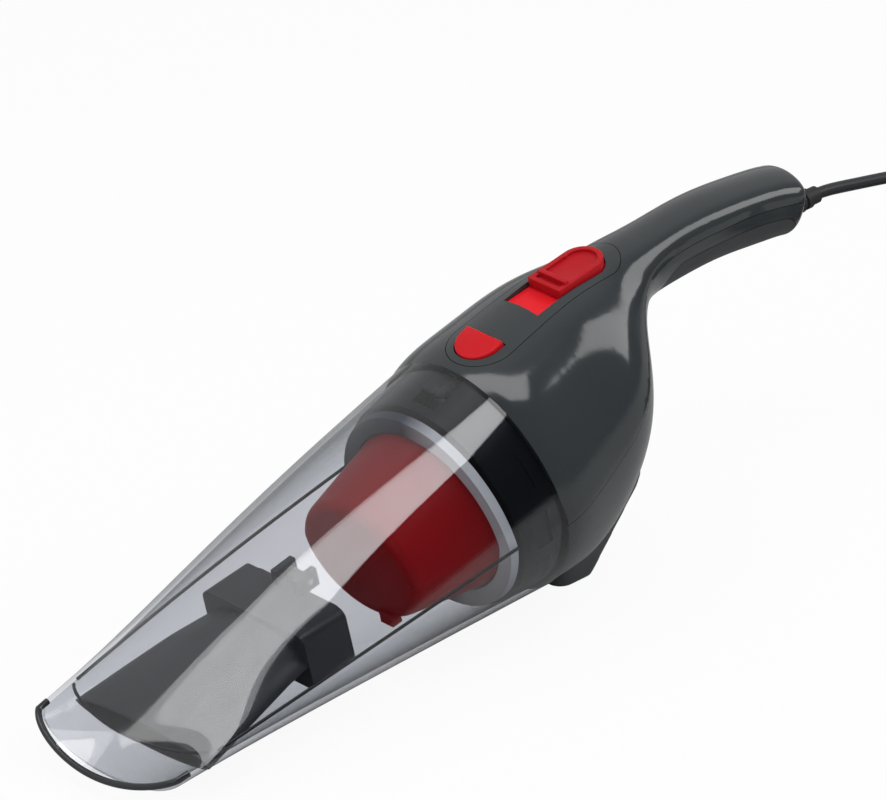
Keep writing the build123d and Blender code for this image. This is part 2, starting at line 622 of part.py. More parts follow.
with BuildPart() as motor_end_cap:
    add(rod(RIM, MOTOR_R, CAP_BACK, MOTOR_BACK - TOUCH))
    add(rod(RIM, BUSH_R + TOUCH, -FAR, 0.0), mode=Mode.SUBTRACT)
save(motor_end_cap, "motor_end_cap")

BUSHES = {
    "front_bush": (MOTOR_FRONT - 2 * MOTOR_WALL, MOTOR_FRONT + BUSH_LENGTH),
    "rear_bush": (CAP_BACK + BUSH_SINK, CAP_BACK + BUSH_SINK + BUSH_LENGTH),
}
for name, (start, end) in BUSHES.items():
    with BuildPart() as bush:
        add(rod(RIM, BUSH_R, start, end))
        add(rod(RIM, SHAFT_R + PIN_GAP, start - OVERRUN, end + OVERRUN), mode=Mode.SUBTRACT)
    save(bush, name)

with BuildPart() as motor_terminals:
    thick, tall, long = TERMINAL_SIZE
    for x in (-TERMINAL_Y, TERMINAL_Y):
        across = (x - thick / 2, x + thick / 2)
        add(block(RIM, across, (-tall / 2, tall / 2), (CAP_BACK - long, CAP_BACK - TOUCH)))
save(motor_terminals, "motor_terminals")

with BuildPart() as motor_screws:
    seat = CASE_BACK + CASE_WALL + TOUCH
    for y in MOTOR_SCREWS:
        add(rod(RIM, MOTOR_SCREW_R, MOTOR_FRONT - FRAME_WALL, seat, y=y))
        add(rod(RIM, 2 * MOTOR_SCREW_R, seat, seat + MOTOR_SCREW_R, y=y))
save(motor_screws, "motor_screws")

# Housing shell, split along the parting line
SWITCH_BACK = back_plane(SWITCH_X, SLOT_LENGTH / 2)
SWITCH = Plane(origin=SWITCH_BACK.origin, x_dir=SWITCH_BACK.x_dir * -1, z_dir=SWITCH_BACK.z_dir)
BUTTON = back_plane(BUTTON_X, BUTTON_LENGTH / 2)
RELIEF = Plane(origin=(TAIL_X, 0, CORD_Z), x_dir=(0, 1, 0), z_dir=(1, 0, 0))
PANEL_FLOOR = RIM_Z + RIM_R / 2  # below the panel and its ledge
outer, inner = housing_form(), housing_form(HOUSING_WALL)

with BuildPart() as shell:
    add(outer)
    add(inner, mode=Mode.SUBTRACT)

with BuildPart() as bosses:
    with Locations(*[(x, y, 0) for x, y in SCREW_SPOTS]):
        Cylinder(BOSS_R, HANDLE_TOP_Z, align=(Align.CENTER, Align.CENTER, Align.MIN))
    add(outer, mode=Mode.INTERSECT)

with BuildPart() as bored_shell:
    add(shell.part)
    add(bosses.part)
    for x, y in SCREW_SPOTS:
        middle = parting_height(x)
        add(rod(Plane.XY, SCREW_HEAD_R + SEAT_GAP, -FAR, middle - SCREW_SEAT, x, y), mode=Mode.SUBTRACT)
        add(rod(Plane.XY, SCREW_R + PIN_GAP, 0.0, middle + SCREW_BITE + OVERRUN, x, y), mode=Mode.SUBTRACT)

with BuildPart() as housing_screws:
    for x, y in SCREW_SPOTS:
        seat = parting_height(x) - SCREW_SEAT - TOUCH
        add(rod(Plane.XY, SCREW_HEAD_R, seat - SCREW_HEAD, seat, x, y))
        add(rod(Plane.XY, SCREW_R, seat, seat + SCREW_SEAT + SCREW_BITE, x, y))
save(housing_screws, "housing_screws")

with BuildPart() as panel_ledge:
    extrude(panel_plan(LEDGE_REACH), amount=FAR)
    add(inner, mode=Mode.INTERSECT)
    add(housing_form(HOUSING_WALL + LEDGE), mode=Mode.SUBTRACT)
    add(below_parting(HANDLE_THICK / 2), mode=Mode.SUBTRACT)
    extrude(nose_shape(SWITCH, SLOT_LENGTH, SLOT_WIDTH), amount=FAR, both=True, mode=Mode.SUBTRACT)
    flange_top = SWITCH.offset(-SLOT_DEPTH - TRAY_DEPTH + TRAY_FLANGE + TOUCH)
    flange_room = nose_shape(flange_top, SLOT_LENGTH, SLOT_WIDTH, TRAY_REACH + SEAT_GAP)
    extrude(flange_room, amount=-RIM_R, mode=Mode.SUBTRACT)
    half = TONGUE_WIDTH / 2 + SLIDE_GAP
    room = (TONGUE_BACK - SLIDE_GAP, RIM_R)
    add(block(RIM, (-half, half), (0, TONGUE_HIGH + SLIDE_GAP), room), mode=Mode.SUBTRACT)

with BuildPart() as upper_housing:
    add(bored_shell.part)
    add(below_parting(PARTING_GAP / 2), mode=Mode.SUBTRACT)
    with BuildSketch(Plane.XY.offset(PANEL_FLOOR)):
        add(panel_plan(PARTING_GAP))
    extrude(amount=FAR, mode=Mode.SUBTRACT)
    add(panel_ledge.part)
    with BuildPart(mode=Mode.PRIVATE) as leaf_rib:
        across, along = (-LEAF_HALF_WIDTH, LEAF_HALF_WIDTH), (LEAF_RIB - LEAF_RIB_THICK, LEAF_RIB)
        add(block(RIM, across, (TONGUE_LOW, FAR), along))
        add(inner, mode=Mode.INTERSECT)
    add(leaf_rib.part)
    extrude(
        nose_shape(BUTTON, BUTTON_LENGTH, BUTTON_WIDTH, SLIDE_GAP),
        amount=-RIM_R / 2,
        mode=Mode.SUBTRACT,
    )
save(upper_housing, "upper_housing")

with BuildPart() as control_panel:
    with BuildSketch(Plane.XY.offset(PANEL_FLOOR)):
        add(panel_plan(0.0))
    extrude(amount=FAR)
    add(shell.part, mode=Mode.INTERSECT)
    extrude(nose_shape(SWITCH, SLOT_LENGTH, SLOT_WIDTH), amount=FAR, both=True, mode=Mode.SUBTRACT)
    button_opening = nose_shape(BUTTON, BUTTON_LENGTH, BUTTON_WIDTH, SLIDE_GAP)
    extrude(button_opening, amount=RIM_R / 2, both=True, mode=Mode.SUBTRACT)
save(control_panel, "control_panel")

# Soft grip let into the handle's underside
with BuildPart() as grip_skin:
    add(outer)
    add(housing_form(GRIP_SKIN), mode=Mode.SUBTRACT)


def grip_zone(grow):
    """Side view of the grip, a bent slot along the handle's underside, through the whole width."""
    middle_x = (GRIP_FRONT_X + GRIP_REAR_X) / 2
    line = [(x, handle_top(x) - HANDLE_THICK) for x in (GRIP_FRONT_X, middle_x, GRIP_REAR_X)]
    with BuildPart() as zone:
        with BuildSketch(Plane.XZ):
            with BuildLine(mode=Mode.PRIVATE):
                spine = ThreePointArc(*line)
            SlotArc(spine, GRIP_HEIGHT + 2 * grow)
        extrude(amount=FAR, both=True)
    return zone.part


with BuildPart() as handle_grip:
    add(grip_skin.part)
    add(grip_zone(0.0), mode=Mode.INTERSECT)
save(handle_grip, "handle_grip")

with BuildPart() as lower_housing:
    add(bored_shell.part)
    add(below_parting(-PARTING_GAP / 2), mode=Mode.INTERSECT)
    with BuildPart(mode=Mode.PRIVATE) as grip_seat:
        add(grip_skin.part)
        add(grip_zone(PARTING_GAP), mode=Mode.INTERSECT)
    add(grip_seat.part, mode=Mode.SUBTRACT)
    with BuildSketch(Plane.YZ.offset(BELLY_RIBS[1][1][0])):
        with Locations(*[(0, VENT_LOW_Z + i * VENT_PITCH) for i in range(VENT_COUNT)]):
            SlotOverall(VENT_WIDTH, VENT_HEIGHT)
    extrude(amount=FAR, mode=Mode.SUBTRACT)
    add(rod(RELIEF, RELIEF_R + TOUCH, -2 * TAIL_FILLET, TAIL_FILLET), mode=Mode.SUBTRACT)
save(lower_housing, "lower_housing")

# Wedge foot under the belly
with BuildPart() as rear_foot:
    with BuildSketch(Plane.XZ):
        with BuildLine():
            Polyline(
                (FOOT_FRONT_X, 0),
                (FOOT_FLAT_X, 0),
                (FOOT_REAR_X, FOOT_REAR_Z),
                (FOOT_FLAT_X, RIM_Z),
                (FOOT_FRONT_X, RIM_Z / 2),
                close=True,
            )
        make_face()
    extrude(amount=FOOT_HALF_WIDTH, both=True)
    with BuildSketch(Plane.XY):
        with Locations(((FOOT_FRONT_X + FOOT_REAR_X) / 2, 0)):
            RectangleRounded(FOOT_REAR_X - FOOT_FRONT_X, 2 * FOOT_HALF_WIDTH, FOOT_CORNER)
    extrude(amount=FAR, mode=Mode.INTERSECT)
    add(outer, mode=Mode.SUBTRACT)
save(rear_foot, "rear_foot")

# Slide switch
SLIDER_REST = -(SLOT_LENGTH - SLIDER_LENGTH) / 2 + SLIDE_GAP
SLIDER = Plane(
    origin=SWITCH.origin + SWITCH.x_dir * SLIDER_REST, x_dir=SWITCH.x_dir, z_dir=SWITCH.z_dir
)
TRAY_LOW = -SLOT_DEPTH - TRAY_DEPTH
STEM_SLOT = (-STEM / 2 - SLIDE_GAP, SWITCH_TRAVEL + STEM / 2 + SLIDE_GAP)

with BuildPart() as switch_tray:
    extrude(nose_shape(SWITCH.offset(TRAY_LOW), SLOT_LENGTH, SLOT_WIDTH, -PARTING_GAP), amount=TRAY_DEPTH)
    extrude(nose_shape(SWITCH.offset(TRAY_LOW), SLOT_LENGTH, SLOT_WIDTH, TRAY_REACH), amount=TRAY_FLANGE)
    half = STEM / 2 + SLIDE_GAP
    add(block(SLIDER, STEM_SLOT, (-half, half), (-FAR, FAR)), mode=Mode.SUBTRACT)
save(switch_tray, "switch_tray")

with BuildPart() as switch_slider:
    low = -SLOT_DEPTH + SEAT_GAP
    extrude(nose_shape(SLIDER.offset(low), SLIDER_LENGTH, SLIDER_WIDTH), amount=SLIDER_PROUD - low)
    dish = nose_shape(SLIDER.offset(SLIDER_PROUD), SLIDER_LENGTH, SLIDER_WIDTH, -SLIDER_RIM)
    extrude(dish, amount=-SLIDER_DISH, mode=Mode.SUBTRACT)
    front, half = SLIDER_LENGTH / 2 - 3 * SLIDER_RIM, SLIDER_WIDTH / 2 - SLIDER_RIM / 2
    top = SLIDER_PROUD + SLIDER_RIDGE
    add(block(SLIDER, (front, front + SLIDER_RIM), (-half, half), (0.0, top)))
    add(block(SLIDER, (-STEM / 2, STEM / 2), (-STEM / 2, STEM / 2), (low - STEM_LENGTH, low)))
save(switch_slider, "switch_slider")

with BuildPart() as switch_block:
    long, wide, tall = BLOCK_SIZE
    top = TRAY_LOW - TOUCH
    add(block(SWITCH, (-long / 2, long / 2), (-wide / 2, wide / 2), (top - tall, top)))
    half = STEM / 2 + SLIDE_GAP
    groove = -SLOT_DEPTH - STEM_LENGTH - SLIDE_GAP
    add(block(SLIDER, STEM_SLOT, (-half, half), (groove, FAR)), mode=Mode.SUBTRACT)
save(switch_block, "switch_block")

# Release button with its latch, and the leaf spring drawn at its pressed height
LATCH_TOP = TONGUE_LOW - SEAT_GAP
LATCH_LOW = LATCH_TOP - LATCH_THICK
with BuildPart() as release_button:
    extrude(
        nose_shape(BUTTON.offset(-HOUSING_WALL), BUTTON_LENGTH, BUTTON_WIDTH),
        amount=HOUSING_WALL + BUTTON_PROUD,
    )
    half = LATCH_WIDTH / 2
    stem = (LATCH_BACK, LATCH_BACK + LATCH_STEM)
    add(block(RIM, (-half, half), (LATCH_TOP + TOUCH, RIM_R + OVERRUN), stem))
save(release_button, "release_button")

with BuildPart() as release_latch:
    half = LATCH_WIDTH / 2
    add(block(RIM, (-half, half), (LATCH_LOW, LATCH_TOP), (LATCH_BACK, LATCH_FRONT)))
save(release_latch, "release_latch")

with BuildPart() as release_spring:
    high = LATCH_LOW - BUTTON_TRAVEL - SLIDE_GAP
    back = LEAF_RIB + TOUCH
    half = LEAF_HALF_WIDTH
    add(block(RIM, (-half, half), (high - LEAF_THICK, high), (back, LATCH_BACK + LATCH_STEM)))
    add(block(RIM, (-half, half), (high - LEAF_THICK, RIM_R), (back, back + LEAF_THICK)))
save(release_spring, "release_spring")

# Strain relief, clamp and the lead inside the handle
CORD_R = CORD_D / 2


def ribbed_boot(plane, start, end):
    """Boot round the lead with a few ribs, between two distances from a plane."""
    with BuildPart() as boot:
        add(rod(plane, RELIEF_R, start, end))
        pitch = (end - start) / (RELIEF_RIBS + RELIEF_RIB_SHARE)
        for i in range(RELIEF_RIBS):
            low = start + i * pitch
            add(rod(plane, RELIEF_RIB_R - RELIEF_TAPER * i, low, low + RELIEF_RIB_SHARE * pitch))
    return boot.part


with BuildPart() as strain_relief:
    add(ribbed_boot(RELIEF, TOUCH, RELIEF_LENGTH))
    inside = -HOUSING_WALL - TOUCH
    add(rod(RELIEF, RELIEF_R, inside - FRAME_WALL, TOUCH))
    add(rod(RELIEF, RELIEF_FLANGE_R, inside - FRAME_WALL, inside))
save(strain_relief, "strain_relief")

with BuildPart() as cord_tail:
    with BuildSketch(RELIEF.offset(-HOUSING_WALL - FRAME_WALL - 2 * TOUCH)):
        RegularPolygon(CORD_R, CORD_SIDES)
    extrude(amount=-CORD_TAIL)
save(cord_tail, "cord_tail")

with BuildPart() as cord_clamp:
    add(block(Plane.XY, (CLAMP_X, CLAMP_X + CLAMP_LENGTH), (-RIM_R, RIM_R), (0, HANDLE_TOP_Z)))
    add(inner, mode=Mode.INTERSECT)
    add(below_parting(-PARTING_GAP / 2), mode=Mode.INTERSECT)
    add(rod(RELIEF, CORD_R + TOUCH, -FAR, FAR), mode=Mode.SUBTRACT)
save(cord_clamp, "cord_clamp")

TAIL_END = TAIL_X - HOUSING_WALL - FRAME_WALL - CORD_TAIL - WIRE_GAP
BLOCK_REAR = SWITCH.origin - SWITCH.x_dir * (BLOCK_SIZE[0] / 2 + WIRE_GAP)
BLOCK_REAR = BLOCK_REAR + SWITCH.z_dir * (TRAY_LOW - BLOCK_SIZE[2] / 2)
TERMINAL = RIM.offset(CAP_BACK - TERMINAL_SIZE[2] - WIRE_GAP).origin
WIRES = {
    "live_wire": (
        (TAIL_END, 1.2, CORD_Z),
        (126, 4, 113.5),
        (108, 8, 112.5),
        (97, 6, 114.5),
        (BLOCK_REAR.X, 4, BLOCK_REAR.Z),
    ),
    "motor_wire": (
        (BLOCK_REAR.X, -4, BLOCK_REAR.Z),
        (94, -7, 112),
        (93, -9, 92),
        (88, TERMINAL_Y, 76),
        (TERMINAL.X, TERMINAL_Y, TERMINAL.Z),
    ),
    "return_wire": (
        (TERMINAL.X, -TERMINAL_Y, TERMINAL.Z),
        (86, -TERMINAL_Y - 4, 74),
        (92, -12, 92),
        (100, -9, 107),
        (126, -4, 111.5),
        (TAIL_END, -1.2, CORD_Z),
    ),
}
for name, points in WIRES.items():
    save(tube(points, WIRE_R)[0], name)

# Lead from the handle to the floor, and its put-away coil of half turns
COIL_Z = TIE_THICK + SEAT_GAP + CORD_R
COIL_X = CORD_FALL[0] + COIL_R
CORD_ROUTE = (
    (TAIL_X + RELIEF_LENGTH + TOUCH, 0.0, CORD_Z),
    (TAIL_X + RELIEF_LENGTH + CORD_D, 0.0, CORD_Z),
    (CORD_BEND_X, 0.0, CORD_BEND_Z),
    CORD_FALL,
    (CORD_FALL[0], CORD_LAND_Y, COIL_Z),
    (CORD_FALL[0], COIL_Y + CORD_D + TOUCH, COIL_Z),
)
power_cord, facts, cord_length = tube(CORD_ROUTE, CORD_R)
print("power_cord", facts)
save(power_cord, "power_cord")

CLIMB_STEP, FIRST_STEP = 0.5, 1.0  # shares of the pitch, at and after a climb to the next layer
coil_radii, coil_heights = [COIL_R], [COIL_Z]
for layer in range(COIL_LAYERS):
    way = -1 if layer % 2 == 0 else 1
    for half_turn in range(COIL_HALF_TURNS):
        step = FIRST_STEP if layer and not half_turn else 0.5
        coil_radii.append(coil_radii[-1] + way * step * COIL_PITCH)
        coil_heights.append(COIL_Z + layer * COIL_PITCH)
    if layer < COIL_LAYERS - 1:
        coil_radii.append(coil_radii[-1] + way * CLIMB_STEP * COIL_PITCH)
        coil_heights.append(COIL_Z + (layer + 1) * COIL_PITCH)
coil_ends = [
    Vector(COIL_X + (-1 if i % 2 == 0 else 1) * r, COIL_Y, z)
    for i, (r, z) in enumerate(zip(coil_radii, coil_heights))
]


def coil_point(i, share):
    """Point of a half turn of the coil, at a share of its way."""
    start, end = coil_ends[i], coil_ends[i + 1]
    middle, side = (start + end) / 2, -1 if i % 2 == 0 else 1
    swing = Vector(0, side * (end - start).length / 2, 0)
    return middle + (start - middle) * cos(pi * share) + swing * sin(pi * share)


with BuildPart() as cord_coil:
    coil_in = coil_ends[0] + Vector(0, CORD_D, 0)
    coil_out = coil_ends[-1] + Vector(0, CORD_D, 0)
    with BuildLine() as coil_route:
        Line(coil_in, coil_ends[0])
        for i in range(len(coil_ends) - 1):
            ThreePointArc(coil_ends[i], coil_point(i, 0.5), coil_ends[i + 1])
        Line(coil_ends[-1], coil_out)
    with BuildSketch(Plane(origin=coil_in, z_dir=(0, -1, 0))) as coil_section:
        RegularPolygon(CORD_R, CORD_SIDES)
    sweep()
save(cord_coil, "cord_coil")

COIL_SAMPLES = 24
coil_points = [
    [coil_point(i, k / COIL_SAMPLES) for k in range(COIL_SAMPLES + 1)] for i in range(len(coil_ends) - 1)
]
least = min(
    dist(tuple(here), tuple(there))
    for i, first in enumerate(coil_points)
    for second in coil_points[i + 2 :: 2]
    for k, here in enumerate(first)
    for there in second[max(k - 1, 0) : k + 2]
)
coil_length = sum(edge.length for edge in coil_route.edges())
coil_share = cord_coil.part.volume / coil_section.sketch.area / coil_length
print("cord_coil least gap", round(least - CORD_D, 3), "turns", (len(coil_ends) - 1) / 2)
print("cord_coil length", round(coil_length), "volume share", round(coil_share, 4))

with BuildPart() as cord_tie:
    nearest, furthest = min(coil_radii) - CORD_R - TIE_ROOM, max(coil_radii) + CORD_R + TIE_ROOM
    top = max(coil_heights) + CORD_R + SEAT_GAP
    for grow, low, mode in ((TIE_THICK, 0.0, Mode.ADD), (0.0, TIE_THICK, Mode.SUBTRACT)):
        across = (COIL_X - TIE_WIDTH / 2, COIL_X + TIE_WIDTH / 2)
        along = (COIL_Y + nearest - grow, COIL_Y + furthest + grow)
        add(block(Plane.XY, across, along, (low, top + grow)), mode=mode)
save(cord_tie, "cord_tie")

# Accessory plug beside the coil
PLUG_Z = PLUG_GRIP_R * cos(pi / PLUG_FLUTES)  # the grip lies on one of its flats
PLUG_X = coil_out.X
PLUG_ROUTE = (
    (PLUG_X, coil_out.Y + TOUCH, coil_out.Z),
    (PLUG_X, coil_out.Y + PLUG_RUNS[0], coil_out.Z),
    (PLUG_X, coil_out.Y + PLUG_RUNS[1], PLUG_Z),
    (PLUG_X, coil_out.Y + PLUG_RUNS[2], PLUG_Z),
)
plug_lead, facts, lead_length = tube(PLUG_ROUTE, CORD_R)
print("plug_lead", facts)
save(plug_lead, "plug_lead")
print("lead in all", round(cord_length + coil_length + lead_length + CORD_TAIL))

PLUG = Plane(origin=PLUG_ROUTE[-1], x_dir=(1, 0, 0), z_dir=(0, 1, 0))
GRIP_BACK = PLUG_BOOT
BARREL_BACK = GRIP_BACK + PLUG_GRIP_LENGTH
BARREL_FRONT = BARREL_BACK + PLUG_BARREL_LENGTH
RING_END = BARREL_FRONT + PLUG_RING_LENGTH
BORE_BACK = BARREL_BACK + 2 * FRAME_WALL
TIP_BACK = BARREL_FRONT - 2 * FRAME_WALL
CONTACT = (
    PLUG_BARREL_R - CONTACT_SINK,
    PLUG_BARREL_R + CONTACT_PROUD,
    BARREL_BACK + CONTACT_MARGIN,
    BARREL_FRONT - CONTACT_MARGIN,
)

with BuildPart() as plug_relief:
    add(ribbed_boot(PLUG, TOUCH, GRIP_BACK))
save(plug_relief, "plug_relief")

with BuildPart() as plug_grip:
    with BuildSketch(PLUG.offset(GRIP_BACK + TOUCH)):
        RegularPolygon(PLUG_GRIP_R, PLUG_FLUTES, rotation=180 / PLUG_FLUTES)
    extrude(amount=PLUG_GRIP_LENGTH - TOUCH)
    chamfer(plug_grip.faces().sort_by(Axis.Y)[0].edges(), FRAME_WALL)
save(plug_grip, "plug_grip")

with BuildPart() as plug_barrel:
    add(rod(PLUG, PLUG_BARREL_R, BARREL_BACK + TOUCH, BARREL_FRONT))
    add(rod(PLUG, PLUG_BORE_R, BORE_BACK, FAR), mode=Mode.SUBTRACT)
    for side in (-1, 1):
        across = sorted((side * (CONTACT[0] - TOUCH), side * FAR))
        half = STEM / 2 + TOUCH
        add(
            block(PLUG, across, (-half, half), (CONTACT[2] - TOUCH, CONTACT[3] + TOUCH)),
            mode=Mode.SUBTRACT,
        )
save(plug_barrel, "plug_barrel")

with BuildPart() as plug_contacts:
    for side in (-1, 1):
        across = sorted((side * CONTACT[0], side * CONTACT[1]))
        add(block(PLUG, across, (-STEM / 2, STEM / 2), CONTACT[2:]))
save(plug_contacts, "plug_contacts")

with BuildPart() as plug_ring:
    add(rod(PLUG, PLUG_RING_R, BARREL_FRONT + TOUCH, RING_END))
    add(rod(PLUG, PLUG_TIP_R + PIN_GAP, 0.0, FAR), mode=Mode.SUBTRACT)
save(plug_ring, "plug_ring")

with BuildPart() as plug_tip:
    add(rod(PLUG, PLUG_TIP_R, TIP_BACK, RING_END + PLUG_TIP_PROUD))
    collar = BARREL_FRONT - SEAT_GAP
    add(rod(PLUG, PLUG_BORE_R - SLIDE_GAP, collar - FRAME_WALL, collar))
    fillet(plug_tip.faces().sort_by(Axis.Y)[-1].edges(), FRAME_WALL)
save(plug_tip, "plug_tip")

with BuildPart() as plug_fuse:
    add(rod(PLUG, FUSE_R, BORE_BACK + TOUCH, TIP_BACK - PLUG_TRAVEL - SEAT_GAP))
save(plug_fuse, "plug_fuse")
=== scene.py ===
"""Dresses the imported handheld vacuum: finishes, clear bowl, beads, lead and a pale studio. Metres, +Z up."""

from collections import namedtuple
from math import cos, pi, radians, sin, sqrt

import bmesh
import bpy
from bpy.props import FloatProperty, FloatVectorProperty, IntProperty, PointerProperty
from mathutils import Matrix, Vector


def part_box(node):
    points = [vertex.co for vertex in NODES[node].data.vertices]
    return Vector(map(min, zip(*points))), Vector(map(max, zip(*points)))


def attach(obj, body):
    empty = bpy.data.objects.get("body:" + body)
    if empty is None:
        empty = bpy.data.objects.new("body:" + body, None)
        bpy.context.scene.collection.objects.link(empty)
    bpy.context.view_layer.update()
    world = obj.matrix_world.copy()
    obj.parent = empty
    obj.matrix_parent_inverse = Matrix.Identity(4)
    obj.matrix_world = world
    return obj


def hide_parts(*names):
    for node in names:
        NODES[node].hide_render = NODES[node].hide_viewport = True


bl_info = {
    "name": "Handheld vacuum dressing",
    "version": (1, 0, 0),
    "blender": (4, 5, 0),
    "location": "View3D > Sidebar > Vacuum",
    "description": "Finishes, clear bowl, lead and studio for a corded handheld vacuum",
    "category": "Object",
}

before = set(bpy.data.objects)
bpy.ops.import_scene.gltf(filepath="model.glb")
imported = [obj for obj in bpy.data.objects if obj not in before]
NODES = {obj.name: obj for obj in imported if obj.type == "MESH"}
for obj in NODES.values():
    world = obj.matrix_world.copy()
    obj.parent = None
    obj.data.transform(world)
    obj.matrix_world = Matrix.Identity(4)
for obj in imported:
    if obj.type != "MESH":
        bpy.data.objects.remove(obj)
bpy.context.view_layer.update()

MM = 0.001
WHITE = (1, 1, 1, 1)

# Meshes of the solids
WELD_GAP = 0.000002  # corners that are closer than this are one corner
SHADING_EDGE = radians(24.0)  # shading breaks at sharper edges than this
SOFTENED_EDGE = radians(30.0)  # sharper edges than this are rounded
FLAT = radians(1.0)  # facets that meet at less than this are joined before the rounding
EDGE_SEGMENTS = 3  # facets across a rounded edge

# Fine grain of moulded plastic, in metres
GRAIN_PITCH, GRAIN_DEPTH = 0.00035, 0.00004

# Rim of the bowl and the machine's own directions, in millimetres
RIM_R = 53.0
RIM = Vector((16.0, 0, 55.0418))
TILT = radians(12.0)  # the machine's axis points down towards the nose
CREASE = radians(8.0)  # each arc of a section starts and ends this far round its ellipse
FORWARD = Vector((-cos(TILT), 0, -sin(TILT)))
UPWARD = Vector((-sin(TILT), 0, cos(TILT)))
LEFT = Vector((0, -1, 0))

# Bowl, in millimetres: sizes at the nose, then what the wall swells by half-way
Bowl = namedtuple("Bowl", "half_width rise drop level side_swell top_swell low_swell level_swell")
SOLID_BOWL = Bowl(37.0, 5.6, 5.6, -4.2, 1.6, 1.6, 0.0, 0.0)
SHOWN_BOWL = Bowl(40.2, -8.0, 9.5, 2.0, 2.0, 7.5, 1.6, 1.5)
BOWL_LENGTH, BOWL_WALL, LIP_WALL = 220.0, 2.2, 3.0
BOWL_STATIONS = 60  # rings of facets from the rim to the lip
BOWL_EDGE = radians(12.0)  # the bowl's shading breaks at its creases
NOSE_X, NOSE_ROUND, NOSE_ROUND_HALF_WIDTH = -191.3, 12.5, 40.5
MOUTH_SLANT = 0.65  # how far the lower lip stands back for its depth below the crease
LIP_SEARCH_FROM, LIP_HALVINGS = 0.6, 40  # share of the length where the search for the lip starts
LIP_TAIL = 5.0  # the lip's bead runs back along each flank
SEAM_BACK = 18.0  # from the lip to the inner seam of the nose
SEAM_START, SEAM_SPAN, SEAM_STEPS = 0.06, 0.88, 32  # shares of the half turn over the nose
BEAD_START, BEAD_DEPTH, BEAD_STEPS = 24.0, 0.8, 40  # from the rim, and below the inner skin
BEAD_SIDES = 12  # facets round a bead
Tongue = namedtuple("Tongue", "width low high back front")
TONGUE = Tongue(12.0, 47.9, 49.9, -5.5, 12.0)
TONGUE_ROUND = 0.5

# Duct, in millimetres: it stays put by the flap and then follows the bowl
DUCT_HELD, DUCT_EASE, DUCT_GAP = 104.0, 40.0, 0.3
DUCT_SHRINK = 0.06  # share of its length in front of the flap

# Grid in millimetres, and passes and strength of the easing, that round the foot's corners
FOOT_GRAIN, FOOT_PASSES, FOOT_EASE = 0.9, 24, 0.5

# Lead, in millimetres
LEAD_D = 5.0
RELIEF_END = (209.52, 0.0, 108.5)
LEAD_STRAIGHT = ((214.5, 0.0, 108.5), (232.0, 0.0, 104.9), (249.0, 0.0, 101.4))
LEAD_ROUTE = ((257.0, 0.0, 99.5), (262.0, -6.0, 64.0), (262.0, -34.0, 4.0), (262.0, -68.98, 4.0))
COIL_CENTRE, COIL_R, COIL_PITCH, COIL_Z = (313.5, -74.0), 51.5, 5.5, 4.0
COIL_LAYERS, COIL_HALF_TURNS = 4, 9
TURN_STEP, CLIMB_STEP, FIRST_STEP = 0.5, 0.5, 1.0  # pitches that a half turn moves in or out
POINTS_PER_HALF_TURN = 7
PLUG_RUNS, PLUG_Z = (8.0, 25.0, 32.0), 11.9775
LEAD_ORDER, LEAD_STEPS, LEAD_ROUNDNESS = 3, 5, 3  # of the curve, along it and round it

# Stitches of the tie, in metres, with each row's place across the strap
STITCH_SIZE = (0.0005, 0.0021, 0.0004)
STITCH_ROWS = ((0.12, "tie_stitches_front"), (0.88, "tie_stitches_back"))
STITCH_SEGMENTS, STITCH_RINGS = 12, 8

# Camera, from the photograph
EYE_AZIMUTH, EYE_ELEVATION, EYE_ROLL = radians(-42.769), radians(27.928), radians(-1.8946)
EYE_TARGET, EYE_DISTANCE = Vector((0.000403, 0, 0.095298)), 4.0
FOCAL_PIXELS, PHOTO_WIDTH, SENSOR = 10179.58, 886, 36.0
VIEW_DEPTH = 100.0

# Studio: the floor, the corners of the bright card overhead, and the lamps
FLOOR_HALF, FLOOR_DROP = 6.0, 0.0004
FLOOR_WHITE = 0.93  # share of plain white in what the camera sees of it
FLOOR_GREYS, FLOOR_MIRRORED, FLOOR_ROUGHNESS = (0.7, 0.74), 0.4, 0.9
CARD_HEIGHT = 1.0
CARD_PLAN = (
    (0.13, -0.54), (0.21, -0.24), (0.08, -0.11), (-0.3, 0.48), (-0.49, 0.9), (-0.55, 0.88), (-0.36, 0.1),
    (-0.25, -0.15), (-0.13, -0.4)
)
Lamp = namedtuple("Lamp", "name toward along distance size power")
LAMPS = (
    Lamp("softbox behind", (0.65, -0.42, 0.60), (-0.67, 0.0, 0.74), 1.5, (0.50, 1.25), "side"),
    Lamp("softbox front", (-0.85, -0.25, 0.46), (0.0, 0.0, 1.0), 1.8, (0.8, 0.8), "front"),
)
ROOM_FRONT, ROOM_BACK = -0.25, 0.15  # where the mirrored room turns from dark to pale


class Shade:
    """A socket of a finish. Arithmetic on it adds Math nodes."""

    def __init__(self, finish, socket):
        self.finish = finish
        self.socket = socket

    def maths(self, operation, first, second):
        return self.finish.node("ShaderNodeMath", {"operation": operation}, {0: first, 1: second})

    def __add__(self, other):
        return self.maths("ADD", self, other)

    def __radd__(self, other):
        return self.maths("ADD", other, self)

    def __mul__(self, other):
        return self.maths("MULTIPLY", self, other)

    def __rmul__(self, other):
        return self.maths("MULTIPLY", other, self)

    def __pow__(self, other):
        return self.maths("POWER", self, other)

    def __gt__(self, other):
        return self.maths("GREATER_THAN", self, other)

    def larger(self, other):
        return self.maths("MAXIMUM", self, other)


